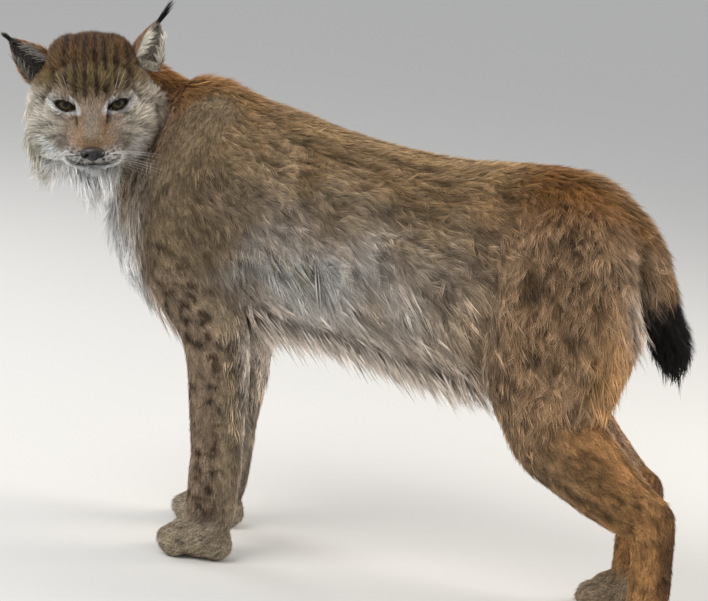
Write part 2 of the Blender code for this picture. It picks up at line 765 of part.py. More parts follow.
def lock_bands(length, half_width, curl, lift, depth, grow):
    """The stations of one lock from root to near its tip: along, aside, off the coat, half width, half depth."""
    bands = []
    for t, spread in LOCK_BANDS:
        bands.append((
            t * length,
            curl * length * t * t,
            -depth if t < 0 else lift * length * t,
            half_width * spread + grow,
            half_width * spread * LOCK_FLATNESS + grow,
        ))
    return bands


def lock_mesh(spot, length, lift, grow=0.0):
    """One flat lock of hair: four-sided, rooted under the coat, bent over along its lie, drawn to a point."""
    root, normal, lie = spot["root"], spot["normal"], spot["lie"]
    lie = (lie - normal * lie.dot(normal) * (1 - spot["free"])).normalized()
    side = lie.cross(normal).normalized()
    out = side.cross(lie).normalized()
    bm = bmesh.new()
    rings = []
    for along, across, off, half_width, half_depth in lock_bands(
        length, spot["width"] / 2, spot["curl"], lift, spot["depth"], grow
    ):
        middle = root + lie * along + side * across + out * off
        corners = (side * half_width, out * half_depth, -side * half_width, -out * half_depth)
        rings.append([bm.verts.new(middle + c) for c in corners])
    tip = bm.verts.new(
        root + lie * (length + grow * 3) + side * spot["curl"] * length + out * lift * length * 0.9
    )
    for low, high in zip(rings, rings[1:]):
        for k in range(4):
            n = (k + 1) % 4
            bm.faces.new((low[k], low[n], high[n], high[k]))
    for k in range(4):
        bm.faces.new((rings[-1][k], rings[-1][(k + 1) % 4], tip))
    bm.faces.new(rings[0])
    bmesh.ops.triangulate(bm, faces=bm.faces)
    bmesh.ops.recalc_face_normals(bm, faces=bm.faces)
    return bm


def tree_of(obj):
    """A search tree of an object's triangles."""
    bm = bmesh.new()
    bm.from_mesh(obj.data)
    tree = BVHTree.FromBMesh(bm)
    bm.free()
    return tree


def vary(rng, value, share=0.15):
    return value * (1 + rng.uniform(-share, share))


def spot_at(tree, start, aim, kind, rng, own_lie=None, own_length=None):
    """Where a ray from start meets the coat, with a lock of this kind as it lies there, or None."""
    length, width, free, lift, curl, lie = LOCKS[kind]
    length = vary(rng, own_length or length)
    width = vary(rng, width)
    curl = rng.uniform(-curl, curl)
    root, normal, _, _ = tree.ray_cast(Vector(start), Vector(aim))
    if root is None:
        return None
    return {
        "root": root, "normal": normal, "lie": Vector(own_lie or lie).normalized(), "length": length,
        "width": width, "free": free, "lift": lift, "curl": curl, "depth": ROOT_DEPTH,
    }


def clear_lock(spot, others):
    """The lock at its spot, lifted and shortened until it is clear of the other nodes, or None."""
    for share, lift in LOCK_TRIALS:
        length = spot["length"] * share
        probe = lock_mesh(spot, length, spot["lift"] + lift, LOCK_ROOM)
        tree = BVHTree.FromBMesh(probe)
        probe.free()
        if any(tree.overlap(other) for other in others):
            continue
        return lock_mesh(spot, length, spot["lift"] + lift)
    return None


def plant(node, spots, others):
    """Fuses the locks of a node with it in one union. Gives how many stand."""
    bundle = bpy.data.collections.new("locks")
    bpy.context.scene.collection.children.link(bundle)
    around = [tree_of(other) for other in others]
    for spot in spots:
        bm = clear_lock(spot, around) if spot else None
        if bm is None:
            continue
        mesh = bpy.data.meshes.new("lock")
        bm.to_mesh(mesh)
        bm.free()
        bundle.objects.link(bpy.data.objects.new("lock", mesh))
    union = node.modifiers.new("locks", "BOOLEAN")
    union.operation = "UNION"
    union.operand_type = "COLLECTION"
    union.solver = "EXACT"
    union.collection = bundle
    apply_modifiers(node)
    for lock in list(bundle.objects):
        bpy.data.objects.remove(lock)
    bpy.data.collections.remove(bundle)
    return keep_largest(node)


def ruff_spots(tree, rng):
    """Tiers of the cheek ruff and beard, from under the ears round to the chin."""
    turn = FRAME.to_3x3()
    longest = LOCKS["ruff"][0]
    spots = []
    for tier, (ahead, count, scale) in enumerate(RUFF_TIERS):
        for side in SIDES.values():
            for k in range(count):
                share = (k + 0.5 * (tier % 2)) / (count - 0.5)
                angle = math.radians(RUFF_START + (RUFF_END - RUFF_START) * share)
                reach = RUFF_SHORTEST + (longest - RUFF_SHORTEST) * math.sin(angle / 2) ** 4
                out = Vector((side * math.sin(angle), 0, math.cos(angle)))
                lie = out * RUFF_FLARE[side] + Vector((side * RUFF_HANG[0], RUFF_SWEEP[side], RUFF_HANG[1]))
                start = FRAME @ (Vector((0, ahead, RUFF_HEIGHT)) + out * OUTSIDE)
                spots.append(spot_at(tree, start, -(turn @ out), "ruff", rng, turn @ lie, reach * scale))
    return spots


def throat_spots(tree, name, rng):
    """The bib that hangs down the front of the neck and breast."""
    spots = []
    middle = (THROAT_COUNT - 0.5) / 2
    for row, height in enumerate(THROAT_ROWS[name]):
        for k in range(THROAT_COUNT):
            across = (k - middle + 0.5 * (row % 2)) * THROAT_SPACING
            spots.append(spot_at(tree, (-OUTSIDE, across, height), (1, 0, 0), "throat", rng))
    return spots


def belly_spots(tree, rng):
    """The long fringe under the belly, in rows from one flank to the other."""
    spots = []
    for row, across in enumerate(BELLY_ROWS):
        for k in range(BELLY_COUNT):
            x = BELLY_START + BELLY_SPACING * (k + 0.5 * (row % 2))
            spots.append(spot_at(tree, (x, across, -OUTSIDE), (0, 0, 1), "belly", rng))
    return spots


def flank_spots(tree, rng):
    """Long locks low on each flank that lie back and down over the fringe."""
    spots = []
    for side in SIDES.values():
        for k in range(FLANK_COUNT):
            x = FLANK_START + FLANK_SPACING * k
            spots.append(spot_at(tree, (x, side * OUTSIDE, FLANK_HEIGHT), (0, -side, 0), "flank", rng))
    return spots


def thigh_spots(tree, side, rng):
    """Trousers: locks down the back of the thigh and over the knee."""
    spots = []
    sign = SIDES[side]
    for height in THIGH_HEIGHTS:
        for across in THIGH_ACROSS:
            spots.append(spot_at(tree, (OUTSIDE, sign * across, height), (-1, 0, 0), "thigh", rng))
    for x in KNEE_PLACES:
        spots.append(spot_at(tree, (x, sign * OUTSIDE, KNEE_HEIGHT), (0, -sign, 0), "knee", rng))
    return spots


def elbow_spots(tree, side, rng):
    """Feathering down the back of the forearm."""
    across = SIDES[side] * ELBOW_ACROSS
    return [spot_at(tree, (OUTSIDE, across, height), (-1, 0, 0), "elbow", rng) for height in ELBOW_HEIGHTS]


def tail_spots(tree, name, rng):
    """Rings of locks down the tail, lying along it."""
    spots = []
    for n, (low, high, share) in enumerate(TAIL_RINGS[name]):
        a, b = Vector(TAIL[low][:3]), Vector(TAIL[high][:3])
        middle, run = a.lerp(b, share), (b - a).normalized()
        across = run.cross(Vector((0, 1, 0))).normalized()
        for k in range(TAIL_COUNT):
            angle = 2 * math.pi * (k + 0.5 * (n % 2)) / TAIL_COUNT
            out = across * math.cos(angle) + Vector((0, math.sin(angle), 0))
            spots.append(spot_at(tree, middle + out * OUTSIDE, -out, name, rng, run))
    return spots


def tuft_spots(side):
    """The black tuft that stands on the tip of an ear."""
    place, length = ear_place(side)
    tuft, lean = EARS[side][-2:]
    turn = place.to_3x3()
    spots = []
    for across, reach in TUFT_HAIRS:
        spots.append({
            "root": place @ Vector((across, 0, length * TUFT_ROOT)), "normal": turn @ Vector((0, -1, 0)),
            "lie": turn @ Vector((across * TUFT_SPREAD + lean, 0, 1)), "length": tuft * reach,
            "width": TUFT_WIDTH, "free": 1.0, "lift": 0.0, "curl": 0.1, "depth": 0.0,
        })
    return spots


def finish_material(obj, name):
    """The plain colour of a coat or bare part."""
    colour, roughness = COLOURS[name]
    material = bpy.data.materials.get(name) or bpy.data.materials.new(name)
    material.use_nodes = True
    shader = material.node_tree.nodes["Principled BSDF"]
    shader.inputs["Base Color"].default_value = (*colour, 1.0)
    shader.inputs["Roughness"].default_value = roughness
    obj.data.materials.clear()
    obj.data.materials.append(material)


def lynx():
    head = head_mass()
    body = whole_body()
    boolean(body, grown(head, GAP), "DIFFERENCE")
    keep_largest(body)
    nodes = part_legs(body)
    nodes.update(paws())
    tail = take(body, tube("tail", TAIL[2:], AHEAD, grow=SLEEVE, sides=12, steps=1), "tail")
    nodes["tail"], nodes["tail_tip"] = part_at(tail, ("tail", "tail_tip"), TAIL_TIP, TAIL_RUN)
    nodes["torso"], nodes["neck"] = part_at(body, ("torso", "neck"), NECK_BASE, NECK_RUN)
    nodes["head"] = head
    for side in SIDES:
        open_eye(head, side)
        nodes[f"ear_{side}"] = ear(side, head)
        nodes[f"eye_{side}"] = eye(side)
    nodes["nose"] = nose(head)
    cut_mouth(head)
    keep_largest(head)
    dress(nodes)
    return nodes


def dress(nodes):
    """Plants every group of locks on its node, each clear of all other nodes."""
    rng = random.Random(LOCK_SEED)

    def grow_on(name, spots):
        plant(nodes[name], spots, [other for key, other in nodes.items() if key != name])

    tree = tree_of(nodes["torso"])
    torso = throat_spots(tree, "torso", rng) + belly_spots(tree, rng) + flank_spots(tree, rng)
    grow_on("torso", torso)
    grow_on("head", ruff_spots(tree_of(nodes["head"]), rng))
    grow_on("neck", throat_spots(tree_of(nodes["neck"]), "neck", rng))
    for name in TAIL_RINGS:
        grow_on(name, tail_spots(tree_of(nodes[name]), name, rng))
    for side in SIDES:
        name = f"thigh_{side}"
        grow_on(name, thigh_spots(tree_of(nodes[name]), side, rng))
        name = f"foreleg_{side}_lower"
        grow_on(name, elbow_spots(tree_of(nodes[name]), side, rng))
        name = f"ear_{side}"
        grow_on(name, tuft_spots(side))


def set_down(nodes):
    """Brings the middle of the whole animal's box over the origin, with the soles on the floor."""
    corners = [v.co for node in nodes.values() for v in node.data.vertices]
    middle = [(min(c[k] for c in corners) + max(c[k] for c in corners)) / 2 for k in (0, 1)]
    for name, node in nodes.items():
        node.name = name
        node.data.name = name
        node.data.transform(Matrix.Translation((-middle[0], -middle[1], 0)))
        coat = next((c for part, c in COAT_OF.items() if name.startswith(part)), "tawny_fur")
        finish_material(node, coat)


set_down(lynx())
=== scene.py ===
"""Looks of the lynx: one skin, a coat of tufts and locks, eyes, nose leather and whiskers, on a pale floor.

Lengths are in metres. Forms are worked out in the frame that the body was designed in, with the head
end towards -X and the left side towards -Y, and are then moved to the frame's own place.
"""

import itertools
import json
import math
import random

import bmesh
import bpy
import numpy as np
from bpy.props import FloatProperty, FloatVectorProperty, IntProperty, PointerProperty
from mathutils import Matrix, Vector
from mathutils.bvhtree import BVHTree

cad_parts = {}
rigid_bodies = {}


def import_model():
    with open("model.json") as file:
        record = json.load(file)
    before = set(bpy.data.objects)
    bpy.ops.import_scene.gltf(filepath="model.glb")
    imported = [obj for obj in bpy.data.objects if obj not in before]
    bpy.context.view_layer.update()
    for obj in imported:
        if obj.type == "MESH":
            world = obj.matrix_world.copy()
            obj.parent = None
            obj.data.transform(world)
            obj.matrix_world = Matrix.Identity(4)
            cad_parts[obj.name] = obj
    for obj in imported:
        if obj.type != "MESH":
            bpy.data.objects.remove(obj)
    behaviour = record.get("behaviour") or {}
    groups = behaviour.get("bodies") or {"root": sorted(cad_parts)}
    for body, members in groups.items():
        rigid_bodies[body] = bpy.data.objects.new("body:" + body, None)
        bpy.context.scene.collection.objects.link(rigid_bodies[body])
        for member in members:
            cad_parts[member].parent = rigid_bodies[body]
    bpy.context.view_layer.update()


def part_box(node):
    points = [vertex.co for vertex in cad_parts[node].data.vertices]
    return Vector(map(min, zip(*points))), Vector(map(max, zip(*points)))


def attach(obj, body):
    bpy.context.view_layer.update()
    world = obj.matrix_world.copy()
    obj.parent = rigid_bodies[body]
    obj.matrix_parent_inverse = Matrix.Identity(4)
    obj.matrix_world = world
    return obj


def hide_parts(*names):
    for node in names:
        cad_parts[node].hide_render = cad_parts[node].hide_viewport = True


bl_info = {
    "name": "Eurasian lynx",
    "version": (1, 0, 0),
    "blender": (4, 5, 0),
    "location": "View3D > Sidebar > Lynx",
    "description": "Builds the skin, coat, eyes, nose and whiskers of a standing lynx",
    "category": "Object",
}

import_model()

FLESH = (
    "torso", "neck", "head", "ear_left", "ear_right", "tail", "tail_tip",
    "foreleg_left_upper", "foreleg_left_lower", "forepaw_left",
    "foreleg_right_upper", "foreleg_right_lower", "forepaw_right",
    "thigh_left", "shank_left", "hock_left", "hindpaw_left",
    "thigh_right", "shank_right", "hock_right", "hindpaw_right",
)
SIDES = {"left": -1, "right": 1}
UP = Vector((0, 0, 1))
AHEAD = Vector((-1, 0, 0))

# Trunk: distance along the back, height of the back, height of the belly, half width.
TRUNK = (
    (-0.408, 0.470, 0.392, 0.036), (-0.383, 0.535, 0.356, 0.066), (-0.335, 0.612, 0.312, 0.094),
    (-0.290, 0.627, 0.292, 0.108), (-0.227, 0.611, 0.296, 0.114), (-0.160, 0.598, 0.312, 0.119),
    (-0.090, 0.584, 0.310, 0.122), (0.000, 0.575, 0.296, 0.120), (0.070, 0.575, 0.286, 0.114),
    (0.130, 0.582, 0.292, 0.106), (0.190, 0.585, 0.316, 0.104), (0.240, 0.578, 0.355, 0.096),
    (0.282, 0.553, 0.400, 0.072), (0.306, 0.520, 0.440, 0.038),
)
# Limbs, neck and tail: x, y, z of the middle line, half size fore and aft, half size across.
FORELEG = (
    (-0.262, 0.058, 0.585, 0.032, 0.022), (-0.285, 0.070, 0.535, 0.055, 0.034),
    (-0.300, 0.080, 0.465, 0.062, 0.043), (-0.270, 0.086, 0.385, 0.060, 0.045),
    (-0.228, 0.085, 0.320, 0.050, 0.043), (-0.212, 0.083, 0.270, 0.045, 0.039),
    (-0.204, 0.081, 0.200, 0.041, 0.035), (-0.197, 0.080, 0.130, 0.037, 0.033),
    (-0.196, 0.080, 0.055, 0.034, 0.033),
)
THIGH = (
    (0.200, 0.040, 0.545, 0.050, 0.028), (0.218, 0.062, 0.500, 0.085, 0.046),
    (0.226, 0.080, 0.430, 0.097, 0.053), (0.229, 0.084, 0.360, 0.096, 0.051),
    (0.224, 0.082, 0.305, 0.086, 0.046), (0.218, 0.079, 0.265, 0.060, 0.040),
)
SHANK = (
    (0.200, 0.080, 0.307, 0.050, 0.040), (0.246, 0.077, 0.254, 0.060, 0.041),
    (0.292, 0.073, 0.217, 0.054, 0.036), (0.338, 0.070, 0.186, 0.045, 0.031),
    (0.372, 0.068, 0.168, 0.036, 0.028), (0.386, 0.068, 0.160, 0.024, 0.022),
)
METATARSUS = (
    (0.380, 0.068, 0.197, 0.016, 0.016), (0.380, 0.068, 0.180, 0.029, 0.024),
    (0.383, 0.068, 0.150, 0.032, 0.028), (0.388, 0.068, 0.110, 0.029, 0.028),
    (0.390, 0.068, 0.055, 0.028, 0.029),
)
NECK = (
    (-0.265, 0.000, 0.490, 0.120, 0.088), (-0.325, 0.000, 0.505, 0.116, 0.088),
    (-0.375, 0.004, 0.527, 0.102, 0.084), (-0.415, -0.004, 0.552, 0.090, 0.080),
    (-0.438, -0.034, 0.567, 0.082, 0.076), (-0.436, -0.076, 0.573, 0.072, 0.070),
)
TAIL = (
    (0.225, 0.000, 0.540, 0.040, 0.046), (0.262, 0.000, 0.524, 0.043, 0.046),
    (0.298, 0.000, 0.497, 0.040, 0.043), (0.324, 0.000, 0.458, 0.035, 0.040),
    (0.341, 0.000, 0.418, 0.033, 0.038), (0.357, 0.000, 0.383, 0.034, 0.038),
    (0.365, 0.000, 0.358, 0.026, 0.028),
)
# How far the right legs stand ahead of the left ones at the foot, and where that step grows.
STEPS = {
    ("left", "fore"): 0.0, ("left", "hind"): 0.0, ("right", "fore"): -0.042, ("right", "hind"): -0.045,
}
STEP_TOP = 0.50
STEP_FOOT = 0.10
# Toes: to the side, ahead, half width.
TOES = (
    (-0.027, -0.036, 0.0135), (-0.0095, -0.047, 0.0125), (0.0095, -0.047, 0.0125), (0.027, -0.036, 0.0135),
)

# The head: middle of the skull, and how it is turned, pitched and rolled.
SKULL = Vector((-0.417, -0.108, 0.579))
HEAD_TURN = math.radians(23.0)
HEAD_PITCH = math.radians(-2.0)
HEAD_ROLL = math.radians(8.5)
# Masses of the head in its own axes (to its right, forward, up), as centre and radii.
HEAD_MIDDLE = (
    ((0, -0.016, 0.018), (0.066, 0.068, 0.069)),
    ((0, 0.026, 0.020), (0.052, 0.034, 0.038)),
    ((0, 0.022, -0.056), (0.050, 0.052, 0.034)),
    ((0, 0.070, -0.081), (0.021, 0.023, 0.013)),
    ((-0.060, -0.014, -0.034), (0.040, 0.031, 0.056)),
    ((0.048, -0.014, -0.038), (0.033, 0.031, 0.050)),
)
HEAD_SIDE = (
    ((0.024, -0.014, 0.044), (0.036, 0.050, 0.040)),
    ((0.046, -0.006, -0.002), (0.036, 0.042, 0.050)),
    ((0.044, 0.012, -0.034), (0.038, 0.042, 0.042)),
    ((0.0335, 0.037, 0.001), (0.0255, 0.0185, 0.0190)),
    ((0.026, 0.040, -0.028), (0.026, 0.030, 0.024)),
    ((0.018, 0.080, -0.060), (0.021, 0.025, 0.017)),
)
MUZZLE = (
    (0, 0.020, -0.024, 0.040, 0.046), (0, 0.056, -0.038, 0.030, 0.037),
    (0, 0.085, -0.049, 0.023, 0.029), (0, 0.099, -0.054, 0.016, 0.020),
)
BRIDGE = (
    (0, 0.020, 0.026, 0.026, 0.030), (0, 0.054, 0.004, 0.018, 0.022),
    (0, 0.081, -0.022, 0.013, 0.018), (0, 0.098, -0.040, 0.010, 0.015),
)
EYE = Vector((0.0335, 0.0410, 0.0))
EYE_RADIUS = 0.0135
# How much wider the socket is than the eye, all round.
EYE_PLAY = 0.0002
LID_RADII = (0.0188, 0.0153, 0.0153)
LID_OPENING = (0.0122, 0.0047)
LID_SLANT = math.radians(20)
LID_CUT_DEPTH = 0.013
NOSE = Vector((0.0, 0.1000, -0.0535))
# Nose leather, from its middle in the head's own axes, as centre and radii; the wings are mirrored.
NOSE_FORMS = (
    ((0, 0, 0.0012), (0.0138, 0.0096, 0.0068)),
    ((0, 0.001, -0.004), (0.0080, 0.0088, 0.0068)),
)
NOSE_WING = ((0.0095, -0.0005, -0.0015), (0.0062, 0.0085, 0.0062))
NOSTRIL = ((0.0080, 0.0088, -0.0028), (0.0042, 0.0060, 0.0020))
NOSTRIL_SLANT = math.radians(35)
NOSTRIL_SLIT = ((0.0125, 0.0060, -0.0040), (0.0040, 0.0050, 0.0009))
# The line down the middle of the nose, as rows of a tube, from the nose's middle.
NOSE_LINE = ((0, 0.0105, 0.001, 0.0006, 0.0010), (0, 0.0100, -0.012, 0.0006, 0.0022))
NOSE_VOXEL = 0.0007
MOUTH_HALF_WIDTH = 0.030
MOUTH_MIDDLE = -0.0705
MOUTH_CORNER = -0.0620
LIP = 0.0028
# Half depth and half height of the line of the mouth.
MOUTH_LINE = (0.0011, 0.0022)
# Ears: out, ahead, up; lean outwards, turn outwards; length; length of the tuft and its lean.
EARS = {
    "right": (0.056, -0.014, 0.030, math.radians(44), math.radians(-10), 0.070, 0.014, 0.0),
    "left": (0.066, -0.014, 0.038, math.radians(20), math.radians(-30), 0.066, 0.036, -0.35),
}
# An ear from root to tip: share of its length, and shares of its full width and depth there.
EAR_SHAPE = (
    (0.0, 0.92, 1.0), (0.2, 1.0, 0.95), (0.45, 0.88, 0.78), (0.7, 0.60, 0.52), (0.9, 0.26, 0.26),
    (1.0, 0.08, 0.10),
)
EAR_HALF_WIDTH = 0.026
EAR_DEPTH = 0.015
EAR_GRISTLE = 0.0012

# Locks of the body coat: their width, how much they are drawn out along the hair, and how far hair turns
# towards the middle of its lock. Each lock is parted into strands, which are narrower.
# Locks and strands are also painted, lighter on their crowns and darker between them, as light and shade.
LOCK_CELL = 0.011
LOCK_STRETCH = 0.72
LOCK_PULL = 0.68
STRAND_CELL = 0.0052
STRAND_STRETCH = 0.55

# Coat depth, that is how far the skin lies under the outer surface of the solids.
BODY_DEPTH = 0.008
TAIL_DEPTH = 0.013
LEG_DEPTH = 0.0045
PAW_DEPTH = 0.0030
HEAD_DEPTH = 0.0022
# Size of the cells in which forms melt into one skin.
BODY_VOXEL = 0.0042
HEAD_VOXEL = 0.0021

# The camera: angles round the model, distance to its target and the focal length over a 36 mm frame.
CAMERA_AZIMUTH = math.radians(16)
CAMERA_ELEVATION = math.radians(10)
CAMERA_ROLL = math.radians(7.7)
CAMERA_DISTANCE = 3.0
CAMERA_TARGET = Vector((-0.062, 0.0, 0.362))
CAMERA_LENS_MM = 115.93
FRAME_WIDTH_MM = 36.0

# Colours of the coat as sRGB, by the place that wears them.
COAT = {
    "forehead": "#7C6A49", "back": "#A68A64", "croup": "#966938", "shoulder": "#9A866B", "flank": "#BBA891",
    "grey": "#CCCAC7", "belly": "#DDD0C4", "breast": "#EDEDED", "thigh": "#B59471", "rust": "#D2A46C",
    "hind": "#BF915F", "hock": "#77563A", "foreleg": "#9E8973", "elbow": "#A8957C", "paw": "#A89A84",
    # The spot colour serves the dark spots and dashes, and also the painted shade between the locks.
    "tail": "#92714A", "black": "#14110F", "spot": "#3E2D1B", "crown": "#664726", "streak": "#2C2014",
    "face": "#B29F8E", "cheek": "#CFC8B9", "white": "#F2F2F2", "bridge": "#A19481", "tan": "#A07C58",
    # The right ear's inside is painted dark as shade.
    "ear": "#2F2B27", "ear patch": "#8B8780", "right ear inside": "#45413D", "left ear inside": "#A59E90",
    "lid": "#15100C",
}

# The coat's plan. Lay.find_measures finds measures of each point of the skin, in metres or as shares.
# A band is a measure, where it starts and where it is full; a fourth number makes its edge ragged. A band
# that is only a name is a share already. A cover is a colour, how strongly it covers and the bands that
# it lies in. A recipe is a colour and the covers that go over it, in that order.
PAW_BAND = ("z", 0.080, 0.045)
TO_THE_FRONT = ("backwards", 0.10, -0.50, 1)
BELOW_BACK = ("level", 1.0, 0.7)
# Of the limbs: which pair of legs they belong to, and their rows.
LIMBS = {
    "fore": ("fore", FORELEG), "thigh": ("hind", THIGH), "shank": ("hind", SHANK),
    "hock": ("hind", METATARSUS),
}
# How sharply one part gives way to the next. The ears start outside the skull, between two radii.
PART_SHARPNESS = 9
EARS_MIDDLE = (0, -0.016, 0.020)
EAR_ROOT = (0.055, 0.070)
# Primes that scatter whole numbers for the random grain.
SCATTER = np.array((73856093, 19349663, 83492791))
SCATTER_AGAIN = 1274126177

# Hair of each part: its length in metres, and how steeply it stands as an angle. Then where it is longer.
HAIR = {
    "trunk": (0.022, 0.20), "neck": (0.030, 0.24), "tail": (0.028, 0.34), "thigh": (0.028, 0.20),
    "leg": (0.0115, 0.20), "head": (0.0045, 0.20), "ear": (0.007, 0.22),
}
LONGER_HAIR = (
    ("trunk", 0.010, (("level", 0.85, 0.4),)),
    ("leg", -0.0025, (PAW_BAND,)),
    ("head", 0.0095, (("muzzle", 0.030, 0.130),)),
    ("head", 0.014, (("across", 0.052, 0.078), ("height", 0.02, -0.03))),
)
# Which way hair leans off the run of a limb.
LIE_BIAS = {"thigh": (0.30, 0, -0.4), "fore": (0.10, 0, -0.05)}

# Places on body and head that measures start from, in metres.
THROAT_MIDDLE = -0.052
SHIN_MIDDLE = 0.25
BODY_THIRD = 0.14
MUZZLE_TIP = (0, 0.105, -0.050)
NOSE_SQUASH = (0.9, 1.0, 1.35)
LID_RIM = 0.0022
# The rows of dark spots that whiskers grow from: height of the first over the lips, step from row to
# row, gap between spots, and how far each row is shifted.
SPOT_START = 0.004
SPOT_ROWS = 0.0052
SPOT_GAP = 0.0066
SPOT_SHEAR = 0.4

THROAT = (
    ("throat", 0.062, 0.036), ("x", -0.372, -0.392), ("z", 0.418, 0.445), ("z", 0.540, 0.515), TO_THE_FRONT,
)
BODY_COAT = {
    "side coat": ("grey", (
        ("flank", 0.9, (("x", -0.16, 0.10, 0.7),)),
        ("flank", 1, (("level", 0.34, 0.66, 1),)),
        ("shoulder", 1, (("x", -0.12, -0.24, 0.5),)),
        ("thigh", 0.6, (("x", 0.04, 0.18, 0.5),)),
    )),
    "back coat": ("back", (
        ("croup", 1, (("x", 0.08, 0.20),)),
        ("croup", 0.7, (("x", -0.24, -0.34),)),
    )),
    "trunk coat": ("belly", (
        ("side coat", 1, (("level", 0.02, 0.26, 1),)),
        ("back coat", 1, (("level", 0.56, 0.95, 1),)),
        ("breast", 1, (("x", -0.30, -0.37), ("level", 0.62, 0.40, 1), TO_THE_FRONT)),
        ("white", 1, THROAT),
    )),
    "neck coat": ("shoulder", (
        ("breast", 1, (TO_THE_FRONT, ("z", 0.54, 0.48), ("y", 0.06, 0.0))),
        ("croup", 1, (("z", 0.55, 0.61, 0.1),)),
        ("white", 1, THROAT),
    )),
    "lower foreleg": ("foreleg", (
        ("elbow", 1, (("behind", 0.004, 0.024),)),
        ("belly", 1, (("behind", 0.030, 0.042), ("z", 0.34, 0.30))),
    )),
    "fore coat": ("shoulder", (
        ("lower foreleg", 1, (("z", 0.42, 0.33),)),
    )),
    "thigh coat": ("thigh", (
        ("rust", 1, (("behind", 0.045, 0.085, 0.1),)),
        ("flank", 1, (("behind", -0.045, -0.085),)),
        ("croup", 1, (("z", 0.50, 0.56),)),
    )),
    "shank coat": ("shoulder", (
        ("hind", 1, (("shin", -0.030, 0.030),)),
    )),
    "hock coat": ("hind", (
        ("hock", 1, (("behind", 0.006, 0.022),)),
    )),
    "tail coat": ("tail", (
        ("black", 1, (("tail", 0.54, 0.60, 0.12),)),
    )),
}
# Dark marks, and painted shade between the locks: the part that wears them, the pattern, how strong it is,
# and its bands.
MARKS = (
    ("fore", "dash", 0.65, (("z", 0.52, 0.44),)),
    ("fore", "dash", 0.33, (("z", 0.52, 0.44), ("z", 0.42, 0.36))),
    ("shank", "dash", 0.50, (("z", 0.10, 0.16),)),
    ("hock", "dash", 0.50, (("z", 0.10, 0.16),)),
    ("thigh", "painted lock shade", 0.66, (("behind", 0.080, 0.045),)),
    ("thigh", "blot", 0.12, (("behind", 0.080, 0.045),)),
    ("trunk", "painted lock shade", 0.14, (("level", 0.15, 0.40), BELOW_BACK)),
    ("trunk", "painted lock shade", 0.22, (("x", -0.10, 0.10), ("level", 0.15, 0.40), BELOW_BACK)),
    ("trunk", "blot", 0.14, (("level", 0.15, 0.45),)),
)
# Sizes of the dashes and blots in metres, and how dashes are drawn out.
DASH_SIZE = 0.0068
DASH_SHAPE = (0.62, 0.80, 1.30)
BLOT_SIZE = 0.021

# Lines of the face on its right side, to the side and up, in metres; the left side mirrors them.
FACE_LINES = {
    "temple": (((0.0480, 0.0060), (0.0560, 0.0080), (0.0660, 0.0040), (0.0760, -0.0080)),),
    "tear": (((0.0215, -0.0075), (0.0195, -0.0130), (0.0185, -0.0210)),),
    "under eye": (((0.0230, -0.0140), (0.0300, -0.0185), (0.0400, -0.0150), (0.0500, -0.0070)),),
    "over eye": (((0.0170, 0.0040), (0.0190, 0.0160), (0.0230, 0.0300)),),
    "cheek lines": (
        ((0.040, -0.024), (0.056, -0.024), (0.072, -0.036), (0.082, -0.056)),
        ((0.038, -0.036), (0.054, -0.040), (0.066, -0.052), (0.072, -0.072)),
    ),
    "forehead lines": (
        ((0.0075, 0.012), (0.0065, 0.045), (0.0055, 0.080)),
        ((0.0170, 0.016), (0.0185, 0.050), (0.0165, 0.085)),
        ((0.0300, 0.024), (0.0320, 0.050), (0.0290, 0.080)),
        ((0.0430, 0.020), (0.0470, 0.040), (0.0440, 0.066)),
    ),
    "ruff stripe": (((0.086, -0.010), (0.080, -0.050), (0.064, -0.090)),),
}
FACE_FRONT = ("ahead", 0.000, 0.020)
ON_MUZZLE = ("ahead", 0.050, 0.062)
